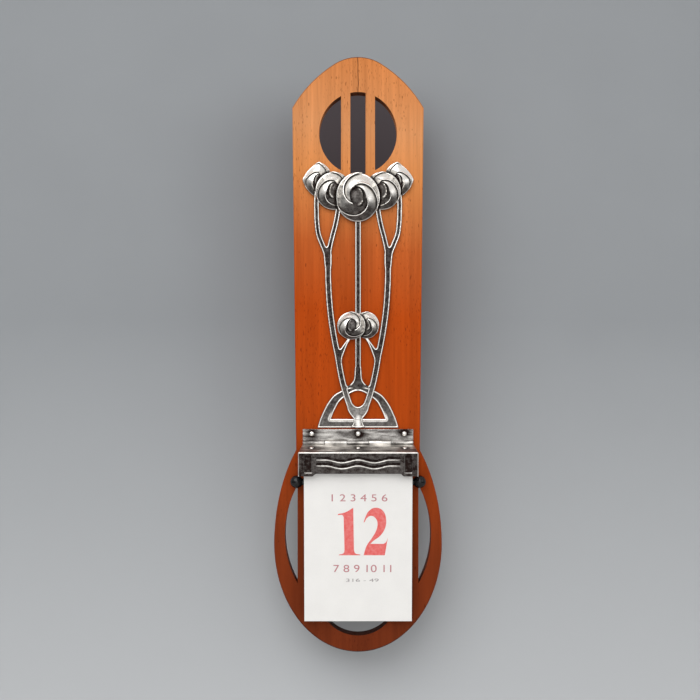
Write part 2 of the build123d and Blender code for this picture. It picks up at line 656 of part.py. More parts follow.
def hood_front():
    """The front plate: ears at the ends, a raised frame, two wavy grooves and two sunk windows."""
    w, y0, y1 = HOOD_HALF_WIDTH, HOOD_FOOT_Y, HOOD_TOP_Y
    ear = w - HOOD_EAR_WIDTH
    step = ear - HOOD_EAR_CURVE
    rise = y0 + HOOD_SCALLOP_RISE
    middle = (ear + step) / 2, (y0 + rise) / 2
    half = [(w, y1), (w, y0), (ear, y0), middle, (step, rise)]
    outline = make_face([Polyline(*half, *mirrored(half)[::-1], close=True)])
    plate = prism(outline, HOOD_BACK_Z, HOOD_DEPTH)
    ends = plate.edges().filter_by(Axis.Z).group_by(Axis.Y)[-1]
    plate = fillet(ends, HOOD_CORNER)
    sunk = HOOD_DEPTH - HOOD_FRAME_DEPTH
    plate -= slab(
        HOOD_FRAME_WIDTH - w, w - HOOD_FRAME_WIDTH, y0 - OVERRUN, y1 - HOOD_FRAME_WIDTH, sunk, HOOD_DEPTH + OVERRUN
    )
    for i in range(WAVE_COUNT):
        groove = wave(y1 - WAVE_TOP_DROP - i * WAVE_PITCH, WAVE_GROOVE_WIDTH)
        plate -= prism(groove, sunk - WAVE_GROOVE_DEPTH, HOOD_DEPTH)
    for side in (-1, 1):
        window = Pos(
            side * (w - WINDOW_INSET - WINDOW_WIDTH / 2), y1 - WINDOW_TOP_DROP - WINDOW_HEIGHT / 2
        ) * Rectangle(WINDOW_WIDTH, WINDOW_HEIGHT)
        plate -= prism(window, sunk - WINDOW_DEPTH, HOOD_DEPTH)
    return plate


def cover_rivets():
    made = []
    for place in rivet_places():
        seat = HOOD_SHEET - BARREL_RADIUS
        tail = -BARREL_RADIUS - SPRING_SHEET
        rivet = upright(RIVET_RADIUS, tail, seat)
        rivet += Pos(0, 0, seat) * dome(RIVET_HEAD_RADIUS, RIVET_HEAD_RISE)
        rivet += Pos(0, 0, tail) * Rot(180, 0, 0) * dome(RIVET_HEAD_RADIUS, RIVET_TAIL_RISE)
        made.append(place * rivet)
    return Compound(children=made)


def pad_spring():
    """A bent leaf riveted under the cover, whose free edge stands just in front of the pad's binding."""
    under = -BARREL_RADIUS
    lean = math.radians(PAD_LEAN)
    front = BLOCK_FRONT + CLIP_SHEET + BRAD_HEAD_RISE
    leg_z = ROD_Z + front * math.cos(lean) + (PAD_TOP + CLIP_SHEET) * math.sin(lean) + SPRING_PAD_GAP
    seat = cover_point(RIVET_REACH - SPRING_SEAT, under), cover_point(RIVET_REACH - SPRING_SEAT, under - SPRING_SHEET)
    leg_foot = ROD_Y + PAD_TOP - SPRING_GRIP
    profile = [
        seat[0],
        (cover_height(leg_z + SPRING_SHEET, under), leg_z + SPRING_SHEET),
        (leg_foot, leg_z + SPRING_SHEET),
        (leg_foot, leg_z),
        (cover_height(leg_z, under - SPRING_SHEET), leg_z),
        seat[1],
    ]
    face = Plane.YZ * make_face([Polyline(*profile, close=True)])
    leaf = extrude(face, amount=SPRING_HALF_LENGTH, both=True)
    for place in rivet_places():
        leaf -= place * rivet_hole()
    return leaf


def rod_eye(side):
    """A post driven into the panel, with a collar and a round eye that carries the rod."""
    eye = Pos(0, 0, ROD_Z) * bar_along_x(EYE_RADIUS, -EYE_LENGTH / 2, EYE_LENGTH / 2)
    eye += upright(EYE_POST_RADIUS, -EYE_POST_DEPTH, ROD_Z)
    eye += upright(EYE_COLLAR_RADIUS, 0, EYE_COLLAR_RISE)
    eye -= Pos(0, 0, ROD_Z) * bar_along_x(ROD_RADIUS + ROD_CLEARANCE, -EYE_LENGTH, EYE_LENGTH)
    return Pos(side * EYE_X, ROD_Y) * eye


def ball(side):
    """A ball end with a short neck, bored for the rod."""
    end = Pos(BALL_X, 0, 0) * Sphere(BALL_RADIUS) + bar_along_x(BALL_NECK_RADIUS, NECK_START, BALL_X)
    end -= bar_along_x(ROD_RADIUS, NECK_START - OVERRUN, ROD_HALF_LENGTH)
    end = end if side > 0 else mirror(end, about=Plane.YZ)
    return Pos(0, ROD_Y, ROD_Z) * end


def pad_rod():
    return Pos(0, ROD_Y, ROD_Z) * bar_along_x(ROD_RADIUS, -ROD_HALF_LENGTH, ROD_HALF_LENGTH)


def pad():
    """The tear-off pad, drawn upright about the rod, then leaned back until its foot is by the panel."""
    w = PAD_WIDTH / 2
    brad_y = PAD_TOP - CLIP_HEIGHT / 2
    brad_x = BRAD_SPACING
    card = slab(-w, w, PAD_FOOT, PAD_TOP, CARD_BACK, CARD_FRONT)
    block = slab(-w, w, PAD_FOOT, PAD_TOP, CARD_FRONT, BLOCK_FRONT)
    clip = slab(-w, w, PAD_TOP - CLIP_HEIGHT, PAD_TOP + CLIP_SHEET, CARD_BACK - CLIP_SHEET, BLOCK_FRONT + CLIP_SHEET)
    clip -= slab(-w - OVERRUN, w + OVERRUN, PAD_FOOT, PAD_TOP, CARD_BACK, BLOCK_FRONT)
    brads = []
    for side in (-1, 1):
        back, front = CARD_BACK - CLIP_SHEET, BLOCK_FRONT + CLIP_SHEET
        shank = Pos(side * brad_x, brad_y) * upright(BRAD_RADIUS, back, front)
        heads = Pos(side * brad_x, brad_y) * upright(BRAD_HEAD_RADIUS, front, front + BRAD_HEAD_RISE)
        heads += Pos(side * brad_x, brad_y) * upright(BRAD_HEAD_RADIUS, back - BRAD_HEAD_RISE, back)
        brads.append(shank + heads)
        card, block, clip = card - shank, block - shank, clip - shank
    sleeve = bar_along_x(SLEEVE_RADIUS, -SLEEVE_HALF_LENGTH, SLEEVE_HALF_LENGTH)
    sleeve += slab(
        -SLEEVE_HALF_LENGTH,
        SLEEVE_HALF_LENGTH,
        -SLEEVE_TAB_HALF_HEIGHT,
        SLEEVE_TAB_HALF_HEIGHT,
        CARD_BACK - SLEEVE_TAB_SHEET,
        CARD_BACK,
    )
    sleeve -= bar_along_x(ROD_RADIUS + ROD_CLEARANCE, -SLEEVE_HALF_LENGTH - OVERRUN, SLEEVE_HALF_LENGTH + OVERRUN)
    leaf = slab(-w, w, PAD_FOOT, LEAF_TOP, BLOCK_FRONT + LEAF_GAP, BLOCK_FRONT + LEAF_GAP + LEAF_THICKNESS)
    made = {
        "pad_card": card,
        "pad_block": block,
        "pad_clip": clip,
        "pad_brads": Compound(children=brads),
        "pad_sleeve": sleeve,
        "top_leaf": leaf,
    }
    place = Pos(0, ROD_Y, ROD_Z) * Rot(PAD_LEAN, 0, 0)
    return {name: place * shape for name, shape in made.items()}


def assembly():
    parts = {"back_panel": back_panel()}
    parts["hanger_plate"], parts["hanger_screws"] = hanger()
    parts.update(ornament())
    parts["hinge_strip"], parts["hinge_pin"], parts["strip_nails"] = hinge_strip()
    parts["hood_cover"] = hood_cover()
    parts["hood_front"] = hood_front()
    parts["hood_cheek_left"] = cheek(-1)
    parts["hood_cheek_right"] = cheek(1)
    parts["cover_rivets"] = cover_rivets()
    parts["pad_spring"] = pad_spring()
    for side, name in ((-1, "left"), (1, "right")):
        parts[f"rod_eye_{name}"] = rod_eye(side)
        parts[f"rod_ball_{name}"] = ball(side)
    parts["pad_rod"] = pad_rod()
    parts.update(pad())
    return parts


def upright_place(point):
    """A point of the drawing in the finished frame, in metres."""
    x, y, z = point
    return [round(value / 1000.0, 6) for value in (x, -z - PANEL_THICKNESS, y - HOOK_Y)]


os.makedirs("parts", exist_ok=True)
stand = Pos(0, -PANEL_THICKNESS, -HOOK_Y) * Rot(90, 0, 0)
for node, shape in assembly().items():
    export_step(stand * shape, f"parts/{node}.step")

lean = math.radians(PAD_LEAN)
fold = LEAF_TOP, BLOCK_FRONT + LEAF_GAP
fold_y = ROD_Y + fold[0] * math.cos(lean) - fold[1] * math.sin(lean)
fold_z = ROD_Z + fold[0] * math.sin(lean) + fold[1] * math.cos(lean)
print("hood hinge", upright_place((0, HINGE_Y, HINGE_Z)))
print("rod and pad", upright_place((0, ROD_Y, ROD_Z)), "lean", round(PAD_LEAN, 3))
print("leaf fold", upright_place((0, fold_y, fold_z)))
print("hook", upright_place((0, HOOK_Y, -PANEL_THICKNESS)), "panel height", PANEL_HEIGHT)
print("fret", upright_place((0, FRET_Y, 0)), "foot hole", upright_place((0, FOOT_HOLE_Y, 0)))
print("side openings", upright_place((OVAL_HALF_WIDTH - OVAL_RIM, SIDE_OPENING_Y, 0)))
print("hood foot", upright_place((0, HOOD_FOOT_Y, HOOD_DEPTH)), "hood top", upright_place((0, HOOD_TOP_Y, HOOD_DEPTH)))
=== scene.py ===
"""Looks of a wall calendar: a mahogany back, an oxidised silver ornament and hood, and a tear-off pad on a rod."""

import math

import bmesh
import bpy
import numpy as np
from bpy.props import FloatProperty, FloatVectorProperty, IntProperty, PointerProperty
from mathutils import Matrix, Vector
from mathutils.kdtree import KDTree


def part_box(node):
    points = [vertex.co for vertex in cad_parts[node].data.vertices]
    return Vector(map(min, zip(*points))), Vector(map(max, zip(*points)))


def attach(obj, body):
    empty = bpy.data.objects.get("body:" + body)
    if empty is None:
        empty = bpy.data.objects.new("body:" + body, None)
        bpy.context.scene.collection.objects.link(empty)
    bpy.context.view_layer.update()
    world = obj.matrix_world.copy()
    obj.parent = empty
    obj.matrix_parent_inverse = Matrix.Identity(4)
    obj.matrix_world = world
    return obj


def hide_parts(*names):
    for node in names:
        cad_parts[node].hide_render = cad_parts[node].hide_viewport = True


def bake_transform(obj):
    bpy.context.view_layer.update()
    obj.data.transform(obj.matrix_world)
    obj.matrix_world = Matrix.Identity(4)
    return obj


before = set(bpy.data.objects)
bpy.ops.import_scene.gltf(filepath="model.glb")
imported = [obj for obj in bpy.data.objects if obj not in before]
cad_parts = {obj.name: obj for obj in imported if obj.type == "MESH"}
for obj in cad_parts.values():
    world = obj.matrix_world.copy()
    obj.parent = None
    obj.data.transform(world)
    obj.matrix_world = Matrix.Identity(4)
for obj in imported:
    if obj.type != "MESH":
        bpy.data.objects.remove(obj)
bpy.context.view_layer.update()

bl_info = {
    "name": "Wall calendar",
    "version": (1, 0, 0),
    "blender": (4, 5, 0),
    "location": "3D View > Sidebar > Calendar",
    "description": "Dresses the packed wall calendar with its wood, silver, enamel and paper",
    "category": "Object",
}

MM = 0.001
PANEL_LOW, PANEL_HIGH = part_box("back_panel")
PANEL_THICKNESS = (PANEL_HIGH.y - PANEL_LOW.y) / MM
FOOT_DROP = -PANEL_LOW.z / MM
ROD_LOW, ROD_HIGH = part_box("pad_rod")
ROD_HEIGHT = (ROD_LOW.z + ROD_HIGH.z) / 2 / MM + FOOT_DROP
ROD_REACH = -(ROD_LOW.y + ROD_HIGH.y) / 2 / MM - PANEL_THICKNESS
PAD_LEAN = math.radians(4.479)


def linear(code):
    """A colour written as an sRGB hex value, as linear red, green and blue."""
    shares = [int(code[i:i + 2], 16) / 255 for i in (1, 3, 5)]
    return tuple(s / 12.92 if s <= 0.04045 else ((s + 0.055) / 1.055) ** 2.4 for s in shares)


def between(first, second, share):
    """A colour part of the way from one to another."""
    return tuple(a + (b - a) * share for a, b in zip(first, second))


def dimmed(colour, share):
    """A colour with a share of its light."""
    return tuple(c * share for c in colour)


def at(x, y, out):
    """A point given in millimetres: across, up from the foot's tip and out of the wood's front face."""
    return Vector((x, -(PANEL_THICKNESS + out), y - FOOT_DROP)) * MM


def on_pad(x, up, out):
    """A point of the leaning pad in millimetres: across, up from the rod and out of it."""
    tilt_y = up * math.cos(PAD_LEAN) - out * math.sin(PAD_LEAN)
    tilt_out = up * math.sin(PAD_LEAN) + out * math.cos(PAD_LEAN)
    return at(x, ROD_HEIGHT + tilt_y, ROD_REACH + tilt_out)


def eased(value, low, high):
    """0 below low, 1 above high, and a smooth step between; low may be the greater."""
    share = np.clip((value - low) / (high - low), 0.0, 1.0)
    return share * share * (3 - 2 * share)


def ridge(value, middle, half_width):
    """1 at the middle, falling away smoothly on both sides."""
    return np.exp(-(((value - middle) / half_width) ** 2))


# Sizes and colours that a user would change


def length_setting(name, description, size):
    """A length that a user can set, its default given in millimetres."""
    return FloatProperty(name=name, description=description, default=size * MM, unit="LENGTH")


def colour_setting(name, description, code):
    """A colour that a user can set, its default given as a hex value."""
    return FloatVectorProperty(name=name, description=description, default=linear(code), subtype="COLOR", size=3)


class CalendarSizes(bpy.types.PropertyGroup):
    """Sizes and counts of what is modelled here"""

    petals: IntProperty(name="Petals", description="Curled petals of each rose", default=3, min=2, max=6)
    lip_twist: FloatProperty(
        name="Lip twist", description="Turn of a petal's lip from rim to bud",
        default=math.radians(150), subtype="ANGLE")
    bud: FloatProperty(name="Bud", description="Bud radius as a share of the rose's", default=0.42, subtype="FACTOR")
    stem_rim: length_setting("Stem rim", "Width of the raised rim of stems and arch", 0.8)
    stem_fillet: length_setting("Stem fillet", "Rounding in the forks of the stems", 1.6)
    worn_edge: length_setting("Worn edge", "Width of the rubbed edges of the hood", 0.28)
    wave_swing: length_setting("Wave swing", "Rise and fall of the hood's wavy lips", 0.85)
    leaves: IntProperty(name="Leaves", description="Leaves drawn in the edge of the pad", default=22, min=2, max=60)
    leaf_stray: length_setting("Leaf stray", "How far leaves stand out of line", 0.09)
    number_height: length_setting("Number height", "Height of the day's number", 29.5)


class CalendarColours(bpy.types.PropertyGroup):
    """Colours of the materials"""

    wood: colour_setting("Mahogany", "Middle tone of the wood", "#b2460a")
    # These two colours paint light into the wood: the head colour is painted sheen, and the foot colour is painted
    # shade where less light falls
    wood_head_sheen: colour_setting("Bleached head", "Wood that light has bleached", "#d8894c")
    wood_foot_shade: colour_setting("Dark foot", "Wood where polish has darkened", "#6f2f15")
    silver: colour_setting("Silver", "Rubbed silver", "#faf6f0")
    tarnish: colour_setting("Tarnish", "Oxidised silver in the hollows", "#261c1a")
    enamel: colour_setting("Enamel", "Black of the ball ends", "#0b0b0c")
    paper: colour_setting("Paper", "Leaves of the pad", "#eeece9")
    red_ink: colour_setting("Red ink", "Large printed number", "#e2605c")
    dull_ink: colour_setting("Dull red ink", "Rows of printed numbers", "#b8747a")
    grey_ink: colour_setting("Grey ink", "Small printed numbers", "#9a9292")
    backdrop: colour_setting("Backdrop", "Grey card behind", "#8e9194")
    painted_shade: colour_setting("Backdrop shade", "The card where the head shades it", "#3f373a")


# Nodes and materials


def add(tree, kind, sockets=None, stops=(), **settings):
    """A new node with its settings and ramp stops, its sockets set, or linked to a node or one of its outputs."""
    made = tree.nodes.new(kind)
    for key, value in settings.items():
        setattr(made, key, value)
    if stops:
        elements = made.color_ramp.elements
        elements[0].position, elements[1].position = stops[0][0], stops[-1][0]
        for place, _ in stops[1:-1]:
            elements.new(place)
        for element, (_, tone) in zip(elements, stops):
            element.color = (*tone, 1.0) if isinstance(tone, (tuple, list)) else (tone, tone, tone, 1.0)
    for key, value in (sockets or {}).items():
        if isinstance(key, int):
            entry = made.inputs[key]
        else:
            entry = next(s for s in made.inputs if s.enabled and s.name == key)
        if isinstance(value, bpy.types.Node):
            value = next(s for s in value.outputs if s.enabled)
        if isinstance(value, bpy.types.NodeSocket):
            tree.links.new(value, entry)
        else:
            entry.default_value = value
    return made


def start_material(name, patterns, **sockets):
    """Start a material: its tree, its shader with plain values set, and noise of these sizes in millimetres."""
    made = bpy.data.materials.new(name)
    made.use_nodes = True
    tree = made.node_tree
    tree.nodes.clear()
    shader = add(tree, "ShaderNodeBsdfPrincipled", {k.replace("_", " "): v for k, v in sockets.items()})
    add(tree, "ShaderNodeOutputMaterial", {"Surface": shader})
    here = add(tree, "ShaderNodeTexCoord").outputs["Object"]
    noise = {}
    for key, (size, detail) in patterns.items():
        sized = add(tree, "ShaderNodeMapping", {"Vector": here, "Scale": [1 / (s * MM) for s in size]})
        noise[key] = add(tree, "ShaderNodeTexNoise", {"Vector": sized, "Scale": 1.0, "Detail": detail})
    noise["place"] = add(tree, "ShaderNodeSeparateXYZ", {"Vector": here})
    return tree, shader, noise


def dress(tree, shader, colour, roughness, height, strength, distance_mm):
    """Lead a colour, a roughness and a bump to the shader."""
    relief = add(tree, "ShaderNodeBump", {"Height": height, "Strength": strength, "Distance": distance_mm * MM})
    for node, socket in ((colour, "Base Color"), (roughness, "Roughness"), (relief, "Normal")):
        tree.links.new(next(s for s in node.outputs if s.enabled), shader.inputs[socket])


def middle_split(tree, noise):
    """A fine wandering split on the board's middle line, from the apex to the fret: nearly 1 in it, 0 beside it."""
    drift = add(tree, "ShaderNodeMapRange", {
        "Value": noise["wander"], "From Min": 0.3, "From Max": 0.7, "To Min": -0.0003, "To Max": 0.0003})
    aside = add(tree, "ShaderNodeMath", {0: noise["place"].outputs["X"], 1: drift}, operation="ADD")
    aside = add(tree, "ShaderNodeMath", {0: aside}, operation="ABSOLUTE")
    line = add(tree, "ShaderNodeMapRange", {
        "Value": aside, "From Min": 0.0001, "From Max": 0.00035, "To Min": 0.85, "To Max": 0.0})
    above = add(tree, "ShaderNodeMapRange", {
        "Value": noise["place"].outputs["Z"], "From Min": -0.0125, "From Max": -0.011})
    return add(tree, "ShaderNodeMath", {0: line, 1: above}, operation="MULTIPLY")


def polished_mahogany(middle, head, foot):
    """Mahogany, planed and rubbed with shellac: straight upright figure, short dark pores, painted sheen paler at the
    head and painted shade darker at the foot.
    """
    # Pores are 0.1 mm wide in the wood; they are drawn 0.6 mm wide so that they show
    tree, shader, noise = start_material("mahogany_shellac", {
        "figure": ((6.0, 6.0, 150.0), 3.0), "fibre": ((1.4, 1.4, 45.0), 3.0), "pore": ((0.6, 0.6, 3.6), 1.0),
        "patch": ((20.0, 20.0, 50.0), 1.0), "knot": ((1.0, 1.0, 4.0), 0.0), "wander": ((4.0, 4.0, 9.0), 2.0),
    }, Specular_IOR_Level=0.05)
    # Painted sheen makes the head palest and the right edge paler than the left, and painted shade darkens the foot
    light = add(tree, "ShaderNodeMath", {
        0: noise["place"].outputs["X"], 1: 0.12, 2: noise["place"].outputs["Z"]}, operation="MULTIPLY_ADD")
    height = add(tree, "ShaderNodeMapRange", {"Value": light, "From Min": -0.36, "From Max": 0.012})
    sheen_and_shade_ramp = add(tree, "ShaderNodeValToRGB", {"Fac": height}, stops=(
        (0.02, foot), (0.18, between(foot, middle, 0.12)), (0.40, between(foot, middle, 0.88)), (0.57, middle),
        (0.68, between(middle, head, 0.24)), (0.80, head), (0.88, between(head, linear("#cc9c75"), 0.32)),
        (1.0, between(head, middle, 0.15))))
    figure = add(tree, "ShaderNodeValToRGB", {"Fac": noise["figure"]}, stops=((0.32, 0.87), (0.5, 1.0), (0.68, 1.11)))
    tone = add(tree, "ShaderNodeMix", {"Factor": 1.0, "A": sheen_and_shade_ramp, "B": figure}, data_type="RGBA", blend_type="MULTIPLY")
    fibre = add(tree, "ShaderNodeValToRGB", {"Fac": noise["fibre"]}, stops=((0.35, 0.0), (0.7, 0.24)))
    dark = add(tree, "ShaderNodeMix", {
        "Factor": 1.0, "A": tone, "B": (0.42, 0.34, 0.3, 1.0)}, data_type="RGBA", blend_type="MULTIPLY")
    tone = add(tree, "ShaderNodeMix", {"Factor": fibre, "A": tone, "B": dark}, data_type="RGBA")
    pores = add(tree, "ShaderNodeValToRGB", {"Fac": noise["pore"]}, stops=((0.62, 0.0), (0.70, 0.8)))
    patch = add(tree, "ShaderNodeValToRGB", {"Fac": noise["patch"]}, stops=((0.40, 0.12), (0.62, 1.0)))
    dots = add(tree, "ShaderNodeMath", {0: pores, 1: patch}, operation="MULTIPLY")
    specks = add(tree, "ShaderNodeValToRGB", {"Fac": noise["knot"]}, stops=((0.77, 0.0), (0.81, 0.8)))
    dots = add(tree, "ShaderNodeMath", {0: dots, 1: specks}, operation="MAXIMUM")
    tone = add(tree, "ShaderNodeMix", {"Factor": dots, "A": tone, "B": dark}, data_type="RGBA")
    split = middle_split(tree, noise)
    tone = add(tree, "ShaderNodeMix", {"Factor": split, "A": tone, "B": (*linear("#2e1207"), 1.0)}, data_type="RGBA")
    # Painted shade darkens the sawn edges that cross the grain, which face up or down, as on the fret's top walls
    facing = add(tree, "ShaderNodeSeparateXYZ", {"Vector": add(tree, "ShaderNodeTexCoord").outputs["Normal"]})
    crossing = add(tree, "ShaderNodeMath", {0: facing.outputs["Z"]}, operation="ABSOLUTE")
    ends = add(tree, "ShaderNodeMapRange", {"Value": crossing, "From Min": 0.15, "From Max": 0.8, "To Max": 0.85})
    tone = add(tree, "ShaderNodeMix", {"Factor": ends, "A": tone, "B": (*linear("#2e150b"), 1.0)}, data_type="RGBA")
    rough = add(tree, "ShaderNodeValToRGB", {"Fac": noise["fibre"]}, stops=((0.3, 0.36), (0.7, 0.52)))
    sunk = add(tree, "ShaderNodeMath", {0: dots, 1: split}, operation="MAXIMUM")
    grain = add(tree, "ShaderNodeMath", {0: noise["fibre"], 1: sunk}, operation="SUBTRACT")
    dress(tree, shader, tone, rough, grain, 0.2, 0.25)


def oxidised_silver(name, bright, dark, mottle, detail, stray):
    """Silver, dipped to blacken and rubbed back by hand: bright lips, black hollows, uneven between, fine marks."""
    tree, shader, noise = start_material(name, {
        "mottle": (mottle, detail), "speck": ((0.7, 0.7, 0.7), 3.0), "rub": ((6.0, 1.2, 0.5), 2.0),
    }, Metallic=1.0)
    # The wear attribute holds real wear and also painted light and shade from the meshes
    wear = add(tree, "ShaderNodeAttribute", attribute_name="wear").outputs["Fac"]
    uneven = add(tree, "ShaderNodeMapRange", {
        "Value": noise["mottle"], "From Min": 0.3, "From Max": 0.7, "To Min": -stray, "To Max": stray})
    fine = add(tree, "ShaderNodeMapRange", {
        "Value": noise["speck"], "From Min": 0.3, "From Max": 0.7, "To Min": -0.07, "To Max": 0.07})
    rubbed = add(tree, "ShaderNodeMath", {0: wear, 1: uneven}, operation="ADD")
    rubbed = add(tree, "ShaderNodeMath", {0: rubbed, 1: fine}, operation="ADD", use_clamp=True)
    tone = add(tree, "ShaderNodeValToRGB", {"Fac": rubbed}, stops=(
        (0.0, dark), (0.3, between(dark, bright, 0.16)), (0.6, between(dark, bright, 0.58)), (0.88, bright)))
    rough = add(tree, "ShaderNodeValToRGB", {"Fac": rubbed}, stops=((0.0, 0.52), (1.0, 0.27)))
    marks = add(tree, "ShaderNodeMath", {0: noise["speck"], 1: noise["rub"]}, operation="ADD")
    dress(tree, shader, tone, rough, marks, 0.16, 0.08)


def black_enamel(colour):
    """Stoved black enamel on turned balls: deep gloss, with slight sags and dust."""
    tree, shader, noise = start_material(
        "enamel_black", {"sag": ((3.0, 3.0, 3.0), 2.0), "dust": ((0.5, 0.5, 0.5), 2.0)}, Specular_IOR_Level=0.35)
    tone = add(tree, "ShaderNodeValToRGB", {"Fac": noise["dust"]}, stops=(
        (0.55, colour), (0.8, tuple(c * 3 + 0.004 for c in colour))))
    rough = add(tree, "ShaderNodeValToRGB", {"Fac": noise["dust"]}, stops=((0.4, 0.12), (0.8, 0.26)))
    dress(tree, shader, tone, rough, noise["sag"], 0.12, 0.2)


def pad_paper(colour):
    """Uncoated wood-free paper: matt, faintly mottled, with a fibre tooth."""
    tree, shader, noise = start_material("paper_uncoated", {
        "cloud": ((14.0, 14.0, 14.0), 3.0), "tooth": ((0.45, 0.45, 0.6), 3.0)}, Specular_IOR_Level=0.25)
    tone = add(tree, "ShaderNodeValToRGB", {"Fac": noise["cloud"]}, stops=((0.3, dimmed(colour, 0.96)), (0.7, colour)))
    fleck = add(tree, "ShaderNodeValToRGB", {"Fac": noise["tooth"]}, stops=((0.3, 0.0), (0.75, 0.06)))
    tone = add(tree, "ShaderNodeMix", {"Factor": fleck, "A": tone, "B": (*linear("#b9b2a6"), 1.0)}, data_type="RGBA")
    rough = add(tree, "ShaderNodeValToRGB", {"Fac": noise["tooth"]}, stops=((0.3, 0.85), (0.7, 0.97)))
    dress(tree, shader, tone, rough, noise["tooth"], 0.1, 0.08)


def printing_ink(name, colour):
    """Letterpress ink, soaked into the paper: matt, a little uneven where the forme pressed less."""
    tree, shader, noise = start_material(
        name, {"uneven": ((1.6, 1.6, 1.6), 4.0), "tooth": ((0.45, 0.45, 0.6), 3.0)}, Specular_IOR_Level=0.3)
    tone = add(tree, "ShaderNodeValToRGB", {"Fac": noise["uneven"]}, stops=(
        (0.35, colour), (0.75, between(colour, (1.0, 1.0, 1.0), 0.14))))
    rough = add(tree, "ShaderNodeValToRGB", {"Fac": noise["uneven"]}, stops=((0.3, 0.7), (0.7, 0.85)))
    dress(tree, shader, tone, rough, noise["tooth"], 0.1, 0.08)


def sheet_metal(name, colour, dull, scratch_mm):
    """Rolled sheet or drawn wire of a plain metal: fine lengthwise scratches and dull spots."""
    tree, shader, noise = start_material(
        name, {"scratch": (scratch_mm, 3.0), "spot": ((2.5, 2.5, 2.5), 3.0)}, Metallic=1.0)
    tone = add(tree, "ShaderNodeValToRGB", {"Fac": noise["spot"]}, stops=(
        (0.35, dimmed(colour, 0.55)), (0.65, colour)))
    rough = add(tree, "ShaderNodeValToRGB", {"Fac": noise["scratch"]}, stops=((0.3, dull - 0.08), (0.7, dull + 0.1)))
    dress(tree, shader, tone, rough, noise["scratch"], 0.12, 0.05)


def greyboard(colour):
    """Pressed grey board of pulped paper: matt, with flecks of fibre."""
    tree, shader, noise = start_material("greyboard", {"fleck": ((0.5, 0.5, 1.4), 3.0)}, Specular_IOR_Level=0.2)
    tone = add(tree, "ShaderNodeValToRGB", {"Fac": noise["fleck"]}, stops=(
        (0.35, dimmed(colour, 0.72)), (0.7, colour)))
    rough = add(tree, "ShaderNodeValToRGB", {"Fac": noise["fleck"]}, stops=((0.3, 0.85), (0.7, 0.98)))
    dress(tree, shader, tone, rough, noise["fleck"], 0.2, 0.1)


def backdrop_card(card, painted_shade):
    """Matt grey card: faintly mottled, paler towards the floor as painted light, with a painted shadow where the head
    shades it, clear from behind.
    """
    tree, shader, noise = start_material("backdrop_card", {"mottle": ((60.0, 60.0, 60.0), 3.0)}, Roughness=0.9)
    x, z = noise["place"].outputs["X"], noise["place"].outputs["Z"]
    tone = add(tree, "ShaderNodeValToRGB", {"Fac": noise["mottle"]}, stops=((0.3, dimmed(card, 0.97)), (0.7, card)))
    # Painted light: the card is paler towards the floor
    low = add(tree, "ShaderNodeMapRange", {"Value": z, "From Min": -0.15, "From Max": -0.42})
    tone = add(tree, "ShaderNodeMix", {"Factor": low, "A": tone, "B": (*linear("#b6b8ba"), 1.0)}, data_type="RGBA")
    # Painted shadow, darkest close behind the fret, where the room's light doesn't come, and less so further down: a
    # long oval
    top, above, below, beside = 0.018, 0.05, 0.3, 0.046
    over = add(tree, "ShaderNodeMath", {0: z, 1: 1 / above, 2: top / above}, operation="MULTIPLY_ADD")
    down = add(tree, "ShaderNodeMath", {0: z, 1: -1 / below, 2: -top / below}, operation="MULTIPLY_ADD")
    away = add(tree, "ShaderNodeMath", {0: over, 1: down}, operation="MAXIMUM")
    aside = add(tree, "ShaderNodeMath", {0: x, 1: beside}, operation="DIVIDE")
    from_middle = add(tree, "ShaderNodeCombineXYZ", {0: aside, 1: away})
    far = add(tree, "ShaderNodeVectorMath", {0: from_middle}, operation="LENGTH").outputs["Value"]
    painted_shadow_behind_fret = add(tree, "ShaderNodeMapRange", {
        "Value": far, "From Min": 0.62, "From Max": 1.0, "To Min": 1.0, "To Max": 0.0},
        interpolation_type="SMOOTHSTEP")
    # Painted shadow for some way beside the head too, further on the left
    across = add(tree, "ShaderNodeMapRange", {"Value": x, "From Min": -0.14, "From Max": 0.14})
    spread = add(tree, "ShaderNodeValToRGB", {"Fac": across}, stops=(
        (0.0, 0.0), (0.08, 0.03), (0.165, 0.12), (0.29, 0.32), (0.34, 0.44), (0.66, 0.54), (0.69, 0.38),
        (0.74, 0.15), (0.86, 0.0)))
    spread.color_ramp.interpolation = "B_SPLINE"
    fade = add(tree, "ShaderNodeMapRange", {
        "Value": z, "From Min": -0.037, "From Max": 0.03, "To Min": 1.0, "To Max": 0.0},
        interpolation_type="SMOOTHSTEP")
    under = add(tree, "ShaderNodeMapRange", {"Value": z, "From Min": -0.30, "From Max": -0.06})
    wide = add(tree, "ShaderNodeMath", {0: spread, 1: fade}, operation="MULTIPLY")
    wide = add(tree, "ShaderNodeMath", {0: wide, 1: under}, operation="MULTIPLY")
    painted_shadow = add(tree, "ShaderNodeMath", {0: painted_shadow_behind_fret, 1: wide}, operation="MAXIMUM")
    tone = add(tree, "ShaderNodeMix", {"Factor": painted_shadow, "A": tone, "B": (*painted_shade, 1.0)}, data_type="RGBA")
    tree.links.new(tone.outputs[2], shader.inputs["Base Color"])
    back = add(tree, "ShaderNodeNewGeometry").outputs["Backfacing"]
    mixed = add(tree, "ShaderNodeMixShader", {0: back, 1: shader, 2: add(tree, "ShaderNodeBsdfTransparent")})
    output = next(n for n in tree.nodes if n.type == "OUTPUT_MATERIAL")
    tree.links.new(mixed.outputs[0], output.inputs["Surface"])


def pale_floor(pale):
    """Painted floor: pale and satin, faintly clouded."""
    tree, shader, noise = start_material("floor_pale", {"cloud": ((90.0, 90.0, 90.0), 2.0)}, Roughness=0.8)
    tone = add(tree, "ShaderNodeValToRGB", {"Fac": noise["cloud"]}, stops=((0.3, dimmed(pale, 0.97)), (0.7, pale)))
    tree.links.new(tone.outputs["Color"], shader.inputs["Base Color"])


